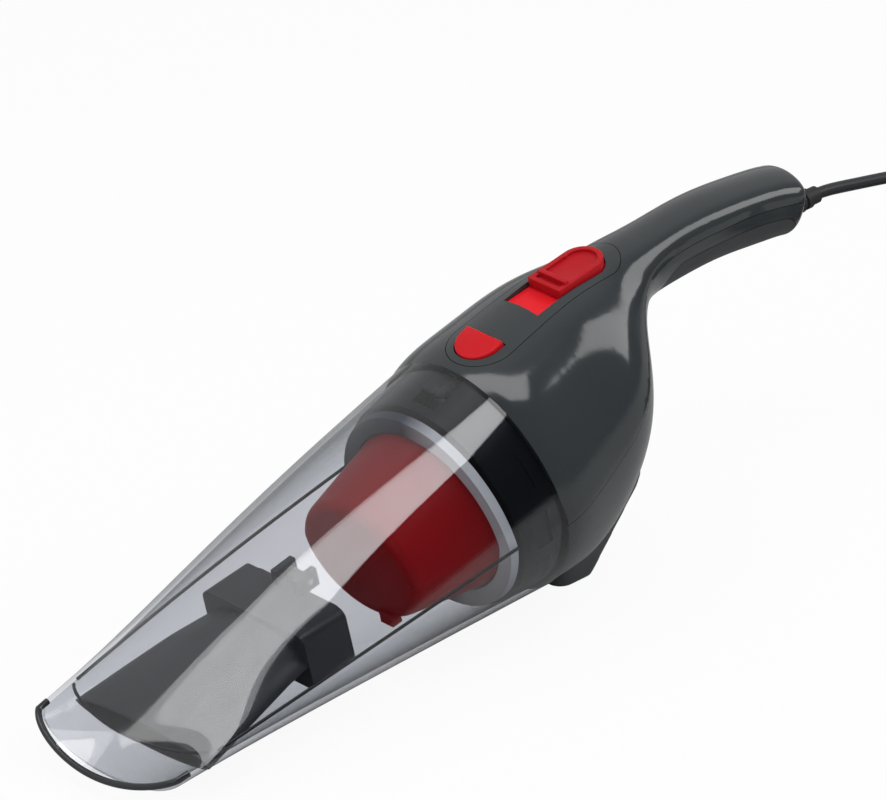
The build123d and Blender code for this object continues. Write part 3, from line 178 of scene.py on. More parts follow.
class Finish:
    """One material, or the world, with one way to add any node to it."""

    def __init__(self, name, library=None, coordinates="Object"):
        self.block = (bpy.data.materials if library is None else library).new(name)
        self.block.use_nodes = True
        self.tree = self.block.node_tree
        self.tree.nodes.clear()
        self.place = self.node("ShaderNodeTexCoord", out=coordinates)

    def node(self, kind, settings=None, sockets=None, out=0):
        """New node. A value for a socket is plain, or the output of another node."""
        made = self.tree.nodes.new(kind)
        for key, value in (settings or {}).items():
            setattr(made, key, value)
        for key, value in (sockets or {}).items():
            if isinstance(value, Shade):
                self.tree.links.new(value.socket, made.inputs[key])
            else:
                made.inputs[key].default_value = value
        return Shade(self, made.outputs[out])

    def noise(self, scale, detail=2.0, stretch=None):
        """Cloudy pattern, stretched along its axes where that is asked."""
        at = self.place
        if stretch:
            at = self.node("ShaderNodeMapping", None, {"Vector": at, "Scale": stretch})
        return self.node("ShaderNodeTexNoise", None, {"Vector": at, "Scale": scale, "Detail": detail})

    def wave(self, direction, scale):
        """Even bands across one axis."""
        sockets = {"Vector": self.place, "Scale": scale}
        return self.node("ShaderNodeTexWave", {"bands_direction": direction}, sockets)

    def blend(self, factor, first, second):
        """Colour between two colours."""
        sockets = {0: factor, 6: (*first, 1), 7: (*second, 1)}
        return self.node("ShaderNodeMix", {"data_type": "RGBA"}, sockets, out=2)

    def level(self, factor, first, second):
        """Number between two numbers."""
        return self.node("ShaderNodeMix", None, {0: factor, 2: first, 3: second})

    def ray(self, kind):
        """1 for a kind of ray and 0 for all others."""
        return self.node("ShaderNodeLightPath", out=f"Is {kind} Ray")

    def bump(self, height, strength, distance):
        """Normal of a surface with fine relief."""
        sockets = {"Height": height, "Strength": strength, "Distance": distance}
        return self.node("ShaderNodeBump", None, sockets)

    def principled(self, **sockets):
        """Main shader. A socket's name has underscores for its spaces."""
        spaced = {key.replace("_", " "): value for key, value in sockets.items()}
        return self.node("ShaderNodeBsdfPrincipled", None, spaced)

    def clear(self, tint):
        """Shader that only tints what is behind it."""
        return self.node("ShaderNodeBsdfTransparent", None, {"Color": (*tint, 1)})

    def glow(self, strength):
        """Shader that gives off white light."""
        return self.node("ShaderNodeEmission", None, {"Color": WHITE, "Strength": strength})

    def mix(self, factor, first, second):
        """Shader between two shaders."""
        return self.node("ShaderNodeMixShader", None, {0: factor, 1: first, 2: second})

    def done(self, shader, kind="ShaderNodeOutputMaterial"):
        """The finished material or world, with a shader as its surface."""
        end = self.tree.nodes.new(kind)
        self.tree.links.new(shader.socket, end.inputs["Surface"])
        return self.block


def scaled(colour, share):
    """Colour made darker or lighter by a share."""
    return tuple(min(1.0, c * share) for c in colour)


def plastic(name, colour, roughness, grain=0.12, **fixed):
    """Moulded plastic: slow drift of colour and gloss, a fine spark-eroded grain and faint rubbing."""
    finish = Finish(name)
    drift = finish.noise(14.0, detail=3.0)
    grains = finish.noise(1 / GRAIN_PITCH)
    rubbed = finish.noise(60.0, detail=6.0, stretch=(1.0, 9.0, 3.0))
    base = finish.blend(drift, scaled(colour, 0.92), scaled(colour, 1.08))
    rough = roughness - 0.04 + drift * 0.05 + grains * 0.03 + (rubbed > 0.63) * 0.03
    normal = finish.bump(grains, strength=grain, distance=GRAIN_DEPTH)
    return finish.done(finish.principled(Base_Color=base, Roughness=rough, Normal=normal, **fixed))


def clear_smoke(name, tint, edge_tint):
    """Clear tinted plastic: light passes straight, edges look deeper, and the skin mirrors the lamps."""
    finish = Finish(name)
    facing = finish.node("ShaderNodeLayerWeight", None, {"Blend": 0.5}, out="Facing")
    haze = finish.noise(30.0, detail=5.0, stretch=(1.0, 6.0, 4.0))
    waves = finish.noise(9.0, detail=1.0)
    wall = finish.mix(facing ** 3.0, finish.clear(tint), finish.clear(edge_tint))
    normal = finish.bump(waves, strength=0.03, distance=0.0004)
    sockets = {"Color": WHITE, "Roughness": 0.02 + haze * 0.02, "Normal": normal}
    skin = finish.node("ShaderNodeBsdfAnisotropic", None, sockets)
    return finish.done(finish.mix(0.04 + 0.9 * facing ** 5.0 + haze * 0.01, wall, skin))


def ring_with_painted_shade(name, near, painted_shade_colour):
    """Satin ring that is pale on the machine's left side, with painted shade in a smoky dark colour on its
    right.
    """
    finish = Finish(name)
    across = finish.node("ShaderNodeSeparateXYZ", None, {"Vector": finish.place}, out="Y")
    grains = finish.noise(2800.0)
    painted_shade_fade = (across + 0.012) * 60.0  # painted shade: it begins 12 mm left of the middle and takes 17 mm
    base = finish.blend(painted_shade_fade + grains * 0.06, near, scaled(painted_shade_colour, 6.0))
    normal = finish.bump(grains, strength=0.1, distance=GRAIN_DEPTH)
    return finish.done(finish.principled(Base_Color=base, Roughness=0.34 + grains * 0.08, Normal=normal))


def tinted_red(name, colour):
    """Dark translucent red of the filter cup, with its fine mesh pattern."""
    finish = Finish(name)
    mesh = finish.wave("Y", 430.0) * finish.wave("Z", 430.0)
    drift = finish.noise(22.0, detail=3.0)
    skin = finish.principled(
        Base_Color=finish.blend(drift, scaled(colour, 0.85), scaled(colour, 1.15)),
        Roughness=0.3 + mesh * 0.1,
        Normal=finish.bump(mesh, strength=0.12, distance=0.0001),
        Specular_IOR_Level=0.2,
    )
    return finish.done(finish.mix(0.82 + mesh * 0.08, finish.clear(scaled(colour, 2.0)), skin))


def soft_rubber(name, colour, roughness=0.62):
    """Soft rubber: matt, slightly dusty, with a fine grain."""
    finish = Finish(name)
    drift = finish.noise(30.0, detail=4.0)
    grains = finish.noise(3200.0)
    base = finish.blend(drift, scaled(colour, 0.85), scaled(colour, 1.3))
    rough = roughness + drift * 0.1 + grains * 0.06
    normal = finish.bump(grains, strength=0.25, distance=0.00006)
    return finish.done(finish.principled(Base_Color=base, Roughness=rough, Normal=normal))


def bare_metal(name, colour, roughness):
    """Drawn or turned metal with fine lines and a little tarnish."""
    finish = Finish(name)
    lines = finish.noise(420.0, detail=3.0, stretch=(1.0, 12.0, 12.0))
    tarnish = finish.noise(40.0, detail=4.0)
    shader = finish.principled(
        Base_Color=finish.blend(tarnish, scaled(colour, 0.78), scaled(colour, 1.05)),
        Metallic=1.0,
        Roughness=roughness + lines * 0.14 + tarnish * 0.06,
        Normal=finish.bump(lines, strength=0.12, distance=0.00003),
    )
    return finish.done(shader)


def winding(name, colour):
    """Varnished copper turns."""
    finish = Finish(name)
    turns = finish.wave("X", 320.0)
    shader = finish.principled(
        Base_Color=finish.blend(turns, scaled(colour, 0.45), colour),
        Metallic=0.8,
        Roughness=0.3 + turns * 0.1,
        Normal=finish.bump(turns, strength=0.6, distance=0.0003),
    )
    return finish.done(shader)


def woven(name, colour, scale, roughness=0.8):
    """Plain weave of crossing threads, with a little fuzz."""
    finish = Finish(name)
    height = (finish.wave("X", scale) + finish.wave("Y", scale) + finish.wave("Z", scale)) * 0.34
    fuzz = finish.noise(1400.0, detail=3.0)
    base = finish.blend(height * 0.7 + fuzz * 0.3, scaled(colour, 0.6), scaled(colour, 1.2))
    normal = finish.bump(height, strength=0.5, distance=0.0002)
    return finish.done(finish.principled(Base_Color=base, Roughness=roughness, Normal=normal))


def colour_value(label, words, default):
    """Property that holds one colour."""
    return FloatVectorProperty(
        name=label, description=words, subtype="COLOR", size=3, min=0, max=1, default=default
    )


def length_value(label, words, default):
    """Property that holds one length in metres."""
    return FloatProperty(name=label, description=words, unit="LENGTH", default=default)


class VacuumColours(bpy.types.PropertyGroup):
    """Colours of the machine."""

    housing: colour_value("Housing", "Charcoal of the covers", (0.032, 0.0365, 0.0395))
    smoke: colour_value("Bowl", "Light that one skin of the bowl lets through", (0.865, 0.872, 0.89))
    smoke_edge: colour_value("Bowl edge", "Light that a skin seen edge on lets through", (0.40, 0.42, 0.44))
    lip: colour_value("Lip", "Smoke of the thick lip", (0.022, 0.024, 0.026))
    control: colour_value("Controls", "Red of the button and switch", (0.53, 0.008, 0.014))
    filter: colour_value("Filter cup", "Dark red of the filter cup", (0.36, 0.001, 0.005))
    ring: colour_value("Filter frame", "Pale grey of the filter frame", (0.58, 0.60, 0.615))
    duct: colour_value("Duct", "Dark grey of the intake duct", (0.034, 0.037, 0.041))
    neck: colour_value("Neck", "Blue-black of the neck", (0.004, 0.005, 0.009))
    black: colour_value("Black", "Black mouldings", (0.011, 0.011, 0.012))
    lead: colour_value("Lead", "Cable jacket", (0.010, 0.011, 0.013))


class VacuumSizes(bpy.types.PropertyGroup):
    """Sizes of what is added to the solids."""

    bead: length_value("Bead", "Half the width of the bowl's beads", 0.0007)
    lip: length_value("Lip", "Half the width of the rounded lip", 0.0014)
    soft_edge: length_value("Soft edge", "Rounding of the controls' edges", 0.0007)
    stitch_pitch: length_value("Stitch pitch", "Distance between the tie's stitches", 0.003)
    round_steps: IntProperty(name="Steps", description="Steps round half a section of the bowl", default=48)


class VacuumStudio(bpy.types.PropertyGroup):
    """Light of the studio."""

    world: FloatProperty(name="World", description="Level of the light from all round", default=0.62)
    wall: FloatProperty(name="Wall", description="Level of the pale wall behind, as mirrored", default=0.6)
    dark: FloatProperty(name="Dark side", description="Level of the room in front, as mirrored", default=0.03)
    card: FloatProperty(name="Card", description="Level of the bright card overhead", default=4.6)
    side: FloatProperty(
        name="Side", description="Power of the softbox behind the handle", unit="POWER", default=8.0
    )
    front: FloatProperty(
        name="Front", description="Power of the softbox by the nose", unit="POWER", default=2.5
    )


def linked(name, data):
    """New object in the scene, at the origin."""
    made = bpy.data.objects.new(name, data)
    bpy.context.scene.collection.objects.link(made)
    return made


def put(name, mesh, body, material=None, replaced=()):
    """New piece with its place in its mesh, riding on a body. Without a material it keeps its mesh's own."""
    piece = linked(name, mesh)
    if material is not None:
        mesh.materials.clear()
        mesh.materials.append(material)
    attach(piece, body)
    if replaced:
        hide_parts(*replaced)


def dress(material, *nodes):
    """Gives carried-over solids a finish and smooth shading up to their real edges."""
    for node in nodes:
        solid = NODES[node]
        solid.data.materials.clear()
        solid.data.materials.append(material)
        solid.data.polygons.foreach_set("use_smooth", [True] * len(solid.data.polygons))
        weld = solid.modifiers.new("weld", "WELD")
        weld.merge_threshold = WELD_GAP
        split = solid.modifiers.new("edges", "EDGE_SPLIT")
        split.split_angle = SHADING_EDGE


def oval_point(angle, half_width, rise, drop):
    """Point of a section of two elliptical arcs that meet in a crease, by the angle round it in radians."""
    side = half_width / cos(CREASE)
    up = sin(angle) >= 0
    tall = (rise if up else drop) / (1 - sin(CREASE))
    if up:
        turn = CREASE + angle / pi * (pi - 2 * CREASE)
        return side * cos(turn), rise - tall + tall * sin(turn)
    turn = pi + CREASE + (angle - pi) / pi * (pi - 2 * CREASE)
    return side * cos(turn), tall - drop + tall * sin(turn)


def bowl_section(form, forward, inset=0.0):
    """Half width, rise, drop and crease level of a bowl's section, at a distance in front of the rim."""
    share = forward / BOWL_LENGTH
    swell = sin(pi * min(max(share, 0.0), 1.0))
    half_width = RIM_R + (form.half_width - RIM_R) * share + form.side_swell * swell - inset
    rise = RIM_R + (form.rise - RIM_R) * share + form.top_swell * swell - inset
    drop = RIM_R + (form.drop - RIM_R) * share + form.low_swell * swell - inset
    return half_width, rise, drop, form.level * share + form.level_swell * swell


def bowl_point(angle, forward, inset=0.0):
    """Point of the bowl's wall in millimetres, at a distance in front of the rim."""
    half_width, rise, drop, level = bowl_section(SHOWN_BOWL, forward, inset)
    left, up = oval_point(angle, half_width, rise, drop)
    return RIM + FORWARD * forward + UPWARD * (up + level) + LEFT * left


def wall_depth(inset, forward):
    """Depth of an inner skin below the outer one. The wall thickens from the rim to the lip."""
    return inset + (LIP_WALL - BOWL_WALL if inset else 0.0) * forward / BOWL_LENGTH


def lip_distance(angle, inset, back=0.0):
    """Distance from the rim at which the wall ends at the rounded, slanted lip, or at a line behind it."""
    low, high = BOWL_LENGTH * LIP_SEARCH_FROM, BOWL_LENGTH
    for _ in range(LIP_HALVINGS):
        middle = (low + high) / 2
        wall = wall_depth(inset, middle)
        point = bowl_point(angle, middle, wall)
        drop = bowl_section(SHOWN_BOWL, middle, wall)[2]
        bow = sqrt(max(0.0, 1 - (point.y / NOSE_ROUND_HALF_WIDTH) ** 2))
        lip_x = NOSE_X + NOSE_ROUND * (1 - bow) + MOUTH_SLANT * drop * max(0.0, -sin(angle))
        if point.x < lip_x + back:
            high = middle
        else:
            low = middle
    return low


def duct_shift(point):
    """Move in millimetres that fits a point of the solid duct to the bowl as it is shown."""
    forward, up, left = ((point - RIM).dot(axis) for axis in (FORWARD, UPWARD, LEFT))
    wide, rise, drop, level = bowl_section(SOLID_BOWL, forward, BOWL_WALL)
    new_wide, new_rise, new_drop, new_level = bowl_section(SHOWN_BOWL, forward, LIP_WALL + DUCT_GAP)
    height = (up - level + drop) / (rise + drop)
    new_up = new_level - new_drop + height * (new_rise + new_drop)
    ease = min(max((forward - DUCT_HELD) / DUCT_EASE, 0.0), 1.0)
    back = DUCT_SHRINK * max(forward - DUCT_HELD, 0.0)
    return (UPWARD * (new_up - up) + LEFT * left * (new_wide / wide - 1)) * ease - FORWARD * back


def new_tree(name, inputs, output):
    """Empty Geometry Nodes tree with its entry and exit, and the identifiers of its named inputs."""
    tree = bpy.data.node_groups.new(name, "GeometryNodeTree")
    ids = {}
    for label, kind in inputs:
        socket = tree.interface.new_socket(label, in_out="INPUT", socket_type="NodeSocket" + kind)
        ids[label] = socket.identifier
    tree.interface.new_socket(output, in_out="OUTPUT", socket_type="NodeSocketGeometry")
    return tree, ids, tree.nodes.new("NodeGroupInput"), tree.nodes.new("NodeGroupOutput")


def swept_tree():
    """Geometry Nodes: a round bead along a line of edges."""
    inputs = (("Line", "Geometry"), ("Radius", "Float"), ("Finish", "Material"))
    tree, ids, entry, leave = new_tree("bead along a line", inputs, "Bead")
    to_curve = tree.nodes.new("GeometryNodeMeshToCurve")
    profile = tree.nodes.new("GeometryNodeCurvePrimitiveCircle")
    profile.inputs["Resolution"].default_value = BEAD_SIDES
    sweep = tree.nodes.new("GeometryNodeCurveToMesh")
    sweep.inputs["Fill Caps"].default_value = True
    smooth = tree.nodes.new("GeometryNodeSetShadeSmooth")
    realize = tree.nodes.new("GeometryNodeRealizeInstances")
    paint = tree.nodes.new("GeometryNodeSetMaterial")
    link = tree.links.new
    link(entry.outputs["Line"], to_curve.inputs["Mesh"])
    link(entry.outputs["Radius"], profile.inputs["Radius"])
    link(to_curve.outputs["Curve"], sweep.inputs["Curve"])
    link(profile.outputs["Curve"], sweep.inputs["Profile Curve"])
    link(sweep.outputs["Mesh"], smooth.inputs["Geometry"])
    link(smooth.outputs["Geometry"], realize.inputs["Geometry"])
    link(realize.outputs["Geometry"], paint.inputs["Geometry"])
    link(entry.outputs["Finish"], paint.inputs["Material"])
    link(paint.outputs["Geometry"], leave.inputs["Bead"])
    return tree, ids


def row_tree():
    """Geometry Nodes: a straight row of small pillow-shaped stitches."""
    inputs = (
        ("Geometry", "Geometry"),
        ("Count", "Int"),
        ("Start", "Vector"),
        ("Step", "Vector"),
        ("Size", "Vector"),
        ("Finish", "Material"),
    )
    tree, ids, entry, leave = new_tree("row of stitches", inputs, "Row")
    line = tree.nodes.new("GeometryNodeMeshLine")
    ball = tree.nodes.new("GeometryNodeMeshUVSphere")
    ball.inputs["Segments"].default_value = STITCH_SEGMENTS
    ball.inputs["Rings"].default_value = STITCH_RINGS
    ball.inputs["Radius"].default_value = 0.5  # one across, so that Size is the stitch's own size
    instance = tree.nodes.new("GeometryNodeInstanceOnPoints")
    realize = tree.nodes.new("GeometryNodeRealizeInstances")
    smooth = tree.nodes.new("GeometryNodeSetShadeSmooth")
    paint = tree.nodes.new("GeometryNodeSetMaterial")
    link = tree.links.new
    link(entry.outputs["Count"], line.inputs["Count"])
    link(entry.outputs["Start"], line.inputs["Start Location"])
    link(entry.outputs["Step"], line.inputs["Offset"])
    link(line.outputs["Mesh"], instance.inputs["Points"])
    link(ball.outputs["Mesh"], instance.inputs["Instance"])
    link(entry.outputs["Size"], instance.inputs["Scale"])
    link(instance.outputs["Instances"], realize.inputs["Geometry"])
    link(realize.outputs["Geometry"], smooth.inputs["Geometry"])
    link(smooth.outputs["Geometry"], paint.inputs["Geometry"])
    link(entry.outputs["Finish"], paint.inputs["Material"])
    link(paint.outputs["Geometry"], leave.inputs["Row"])
    return tree, ids


def plain_mesh(source):
    """Mesh of an object as its modifiers leave it. The object itself goes."""
    graph = bpy.context.evaluated_depsgraph_get()
    made = bpy.data.meshes.new_from_object(source.evaluated_get(graph), depsgraph=graph)
    source.modifiers.clear()
    bpy.data.objects.remove(source)
    return made


def grown(tree, ids, mesh, values):
    """Plain mesh that a tree makes from a source mesh and its named inputs."""
    source = linked("source", mesh)
    modifier = source.modifiers.new("tree", "NODES")
    modifier.node_group = tree
    for name, value in values.items():
        modifier[ids[name]] = value
    return plain_mesh(source)


def line_mesh(points):
    """Mesh of edges through points given in millimetres."""
    mesh = bpy.data.meshes.new("line")
    edges = [(i, i + 1) for i in range(len(points) - 1)]
    mesh.from_pydata([Vector(p) * MM for p in points], edges, [])
    return mesh


def merged_copy(node):
    """Copy of a solid's mesh and its editable form, with the split corners of each edge joined."""
    mesh = NODES[node].data.copy()
    form = bmesh.new()
    form.from_mesh(mesh)
    bmesh.ops.remove_doubles(form, verts=form.verts, dist=WELD_GAP)
    return mesh, form


def written(form, mesh):
    """The mesh, with an edited form written into it."""
    form.to_mesh(mesh)
    form.free()
    return mesh


def softened(node, width):
    """Merged copy of a solid with rounded edges."""
    mesh, form = merged_copy(node)
    bmesh.ops.dissolve_limit(form, angle_limit=FLAT, verts=form.verts, edges=form.edges)
    sharp = [e for e in form.edges if len(e.link_faces) == 2 and e.calc_face_angle(0.0) > SOFTENED_EDGE]
    bmesh.ops.bevel(
        form,
        geom=sharp,
        offset=width,
        segments=EDGE_SEGMENTS,
        profile=0.5,
        affect="EDGES",
        clamp_overlap=True,
    )
    for face in form.faces:
        face.smooth = True
    for edge in form.edges:
        edge.smooth = len(edge.link_faces) != 2 or edge.calc_face_angle(0.0) < SOFTENED_EDGE
    return written(form, mesh)


def rounded(node, grain, passes, strength):
    """Copy of a solid rebuilt on a fine grid and eased, so that each of its corners turns softly."""
    mesh, form = merged_copy(node)
    source = linked("source", written(form, mesh))
    grid = source.modifiers.new("grid", "REMESH")
    grid.mode, grid.voxel_size, grid.use_smooth_shade = "VOXEL", grain, True
    ease = source.modifiers.new("ease", "SMOOTH")
    ease.factor, ease.iterations = strength, passes
    return plain_mesh(source)


class DressCovers(bpy.types.Operator):
    """Finishes the covers, the soft grip, the foot and the screws"""

    bl_idname = "vacuum.dress_covers"
    bl_label = "Covers"

    def execute(self, context):
        colours = context.scene.vacuum_colours
        charcoal = plastic(
            "charcoal gloss", colours.housing, roughness=0.12, grain=0.015, Specular_IOR_Level=0.45
        )
        dress(charcoal, "upper_housing", "lower_housing", "control_panel")
        dress(soft_rubber("soft grip", scaled(colours.housing, 0.85), roughness=0.5), "handle_grip")
        foot = rounded("rear_foot", FOOT_GRAIN * MM, FOOT_PASSES, FOOT_EASE)
        pale = plastic("foot charcoal", scaled(colours.housing, 1.35), roughness=0.35)
        put("foot", foot, "machine", pale, ("rear_foot",))
        dress(bare_metal("screw steel", (0.42, 0.42, 0.43), roughness=0.3), "housing_screws")
        return {"FINISHED"}


class DressBowl(bpy.types.Operator):
    """Builds the clear bowl from its sections, with its lip, catch, flank beads and nose seam"""

    bl_idname = "vacuum.dress_bowl"
    bl_label = "Bowl"

    def execute(self, context):
        colours, sizes = context.scene.vacuum_colours, context.scene.vacuum_sizes
        clear = clear_smoke("clear smoke", colours.smoke, colours.smoke_edge)
        put("bowl_shell", self.shell(2 * sizes.round_steps), "bowl", clear, ("dust_bowl",))
        self.add_beads(colours, sizes)
        put("bowl_catch", self.catch(), "bowl", clear)
        duct = softened("intake_duct", sizes.soft_edge)
        for vert in duct.vertices:
            vert.co += duct_shift(vert.co / MM) * MM
        grey = plastic("duct grey", colours.duct, roughness=0.34, Specular_IOR_Level=0.35)
        put("duct", duct, "bowl", grey, ("intake_duct",))
        dress(soft_rubber("flap rubber", (0.02, 0.02, 0.022)), "flap_valve")
        dress(bare_metal("pin steel", (0.5, 0.5, 0.52), roughness=0.25), "flap_pin")
        return {"FINISHED"}

    def shell(self, steps):
        """Closed wall between the bowl's outer and inner skin, from the rim to the lip."""
        form = bmesh.new()
        outer, inner = self.skin(form, 0.0, steps), self.skin(form, BOWL_WALL, steps)
        pairs = [(i, (i + 1) % steps) for i in range(steps)]
        for a, b in zip(outer, outer[1:]):
            for i, j in pairs:
                form.faces.new((a[i], a[j], b[j], b[i]))
        for a, b in zip(inner, inner[1:]):
            for i, j in pairs:
                form.faces.new((a[i], b[i], b[j], a[j]))
        for i, j in pairs:
            form.faces.new((outer[0][j], outer[0][i], inner[0][i], inner[0][j]))
            form.faces.new((outer[-1][i], outer[-1][j], inner[-1][j], inner[-1][i]))
        for face in form.faces:
            face.smooth = True
        bmesh.ops.recalc_face_normals(form, faces=form.faces)
        for edge in form.edges:
            edge.smooth = len(edge.link_faces) == 2 and edge.calc_face_angle(0.0) < BOWL_EDGE
        return written(form, bpy.data.meshes.new("bowl_shell"))

    def skin(self, form, inset, steps):
        """Rings of corners of one skin, from the rim to the lip."""
        angles = [2 * pi * i / steps for i in range(steps)]
        ends = [lip_distance(angle, inset) for angle in angles]
        rings = []
        for k in range(BOWL_STATIONS + 1):
            ring = []
            for angle, end in zip(angles, ends):
                forward = end * k / BOWL_STATIONS
                ring.append(form.verts.new(bowl_point(angle, forward, wall_depth(inset, forward)) * MM))
            rings.append(ring)
        return rings

    def add_beads(self, colours, sizes):
        """Dark beads along both flanks, the seam across the nose, and the thick lip."""
        bead = plastic("bowl bead", (0.008, 0.009, 0.012), roughness=0.15, grain=0.02)
        depth = BOWL_WALL + BEAD_DEPTH
        lines = {}
        for angle, name in ((0.0, "bowl_bead_left"), (pi, "bowl_bead_right")):
            span = lip_distance(angle, BOWL_WALL, SEAM_BACK) - BEAD_START
            ways = [BEAD_START + span * k / BEAD_STEPS for k in range(BEAD_STEPS + 1)]
            lines[name] = [bowl_point(angle, forward, depth) for forward in ways]
        turns = [pi * (SEAM_START + SEAM_SPAN * i / SEAM_STEPS) for i in range(SEAM_STEPS + 1)]
        lines["nose_seam"] = [bowl_point(a, lip_distance(a, BOWL_WALL, SEAM_BACK), depth) for a in turns]
        tree, ids = swept_tree()
        values = {"Radius": sizes.bead, "Finish": bead}
        for name, line in lines.items():
            put(name, grown(tree, ids, line_mesh(line), values), "bowl")
        centre = LIP_WALL / 2
        turns = [pi * i / sizes.round_steps for i in range(sizes.round_steps + 1)]
        lip = [bowl_point(a, lip_distance(a, centre), centre) for a in turns]
        left, right = (bowl_point(a, lip_distance(a, centre) - LIP_TAIL, centre) for a in (0.0, pi))
        smoke = plastic("lip smoke", colours.lip, roughness=0.1, grain=0.02)
        values = {"Radius": sizes.lip, "Finish": smoke}
        put("nose_lip", grown(tree, ids, line_mesh([left, *lip, right]), values), "bowl")

    def catch(self):
        """Tongue at the top of the rim, which the latch holds."""
        form = bmesh.new()
        bmesh.ops.create_cube(form, size=1.0)
        axes = Matrix((LEFT, UPWARD, FORWARD)).transposed()
        middle = RIM + UPWARD * (TONGUE.low + TONGUE.high) / 2 + FORWARD * (TONGUE.back + TONGUE.front) / 2
        size = Vector((TONGUE.width, TONGUE.high - TONGUE.low, TONGUE.front - TONGUE.back))
        for vert in form.verts:
            vert.co = (middle + axes @ (vert.co * size)) * MM
        bmesh.ops.recalc_face_normals(form, faces=form.faces)
        bmesh.ops.bevel(form, geom=form.edges[:], offset=TONGUE_ROUND * MM, segments=2, affect="EDGES")
        return written(form, bpy.data.meshes.new("bowl_catch"))


class DressFilter(bpy.types.Operator):
    """Finishes the filter, its frame and seal, and the neck that carries it"""

    bl_idname = "vacuum.dress_filter"
    bl_label = "Filter"

    def execute(self, context):
        colours = context.scene.vacuum_colours
        dress(tinted_red("cup red", colours.filter), "filter_cup")
        # The filter frame's right side gets painted shade, taken from the neck's blue-black.
        dress(ring_with_painted_shade("frame grey", colours.ring, colours.neck), "filter_frame")
        dress(soft_rubber("seal rubber", (0.02, 0.02, 0.02)), "filter_seal")
        dress(woven("filter cloth", (0.72, 0.71, 0.67), scale=900.0, roughness=0.9), "filter_cloth")
        dress(plastic("neck black", colours.neck, roughness=0.3, Specular_IOR_Level=0.25), "neck_frame")
        return {"FINISHED"}


class DressControls(bpy.types.Operator):
    """Rounds and finishes the release button and the slide switch"""

    bl_idname = "vacuum.dress_controls"
    bl_label = "Controls"

    def execute(self, context):
        colours, edge = context.scene.vacuum_colours, context.scene.vacuum_sizes.soft_edge
        for name, node, body, look, share, roughness in (
            ("button_cap", "release_button", "button", "control red", 1.0, 0.3),
            ("switch_cap", "switch_slider", "slider", "switch red", 0.76, 0.35),
        ):
            colour = scaled(colours.control, share)
            red = plastic(look, colour, roughness, grain=0.06, Specular_IOR_Level=0.15)
            put(name, softened(node, edge), body, red, (node,))
        # Painted light: the red of the slot floor and the latch is 1.35 times the controls' red, which lifts
        # the shade that falls in the slot.
        slot_red_painted_light = plastic("slot red", scaled(colours.control, 1.35), roughness=0.4, Specular_IOR_Level=0.15)
        dress(slot_red_painted_light, "switch_tray", "release_latch")
        dress(plastic("switch black", colours.black, roughness=0.4), "switch_block")
        dress(bare_metal("spring steel", (0.5, 0.5, 0.52), roughness=0.22), "release_spring")
        return {"FINISHED"}


class DressDrive(bpy.types.Operator):
    """Finishes the fan, the motor and the inner wires"""

    bl_idname = "vacuum.dress_drive"
    bl_label = "Fan and motor"

    def execute(self, context):
        colours = context.scene.vacuum_colours
        dress(plastic("case grey", colours.duct, roughness=0.42), "fan_case")
        dress(plastic("fan white", (0.62, 0.62, 0.6), roughness=0.4), "impeller")
        dress(bare_metal("shaft steel", (0.55, 0.55, 0.57), roughness=0.2), "motor_shaft", "motor_screws")
        dress(winding("winding copper", (0.55, 0.24, 0.12)), "motor_armature")
        dress(bare_metal("can zinc", (0.46, 0.47, 0.49), roughness=0.34), "motor_can")
        dress(plastic("inner black", colours.black, roughness=0.45), "motor_end_cap", "cord_clamp")
        dress(bare_metal("bush bronze", (0.5, 0.33, 0.17), roughness=0.35), "front_bush", "rear_bush")
        dress(bare_metal("terminal brass", (0.7, 0.52, 0.24), roughness=0.3), "motor_terminals")
        red = (0.35, 0.015, 0.015)
        for node, colour in (
            ("live_wire", red),
            ("motor_wire", red),
            ("return_wire", colours.lead),
            ("cord_tail", colours.lead),
        ):
            dress(soft_rubber(node.replace("_", " ") + " jacket", colour, roughness=0.45), node)
        return {"FINISHED"}


def coil_points():
    """Control points of the put-away coil, in millimetres, a few for each half turn, and its end."""
    radii, heights = [COIL_R], [COIL_Z]
    for layer in range(COIL_LAYERS):
        way = -1 if layer % 2 == 0 else 1
        for half in range(COIL_HALF_TURNS):
            step = FIRST_STEP if layer and not half else TURN_STEP
            radii.append(radii[-1] + way * step * COIL_PITCH)
            heights.append(COIL_Z + layer * COIL_PITCH)
        if layer < COIL_LAYERS - 1:
            radii.append(radii[-1] + way * CLIMB_STEP * COIL_PITCH)
            heights.append(COIL_Z + (layer + 1) * COIL_PITCH)
    (centre_x, centre_y), points = COIL_CENTRE, []
    swell = 1 / cos(pi / POINTS_PER_HALF_TURN / 2)
    ends = [(centre_x + (-1 if i % 2 == 0 else 1) * r, z) for i, (r, z) in enumerate(zip(radii, heights))]
    for i, ((x0, z0), (x1, z1)) in enumerate(zip(ends, ends[1:])):
        middle, reach, side = (x0 + x1) / 2, (x0 - x1) / 2, -1 if i % 2 == 0 else 1
        for k in range(POINTS_PER_HALF_TURN):
            turn = pi * (k + 0.5) / POINTS_PER_HALF_TURN
            x = middle + swell * reach * cos(turn)
            y = centre_y + swell * side * abs(reach) * sin(turn)
            points.append((x, y, (z0 + z1) / 2 + (z0 - z1) / 2 * cos(turn)))
    return points, ends[-1]


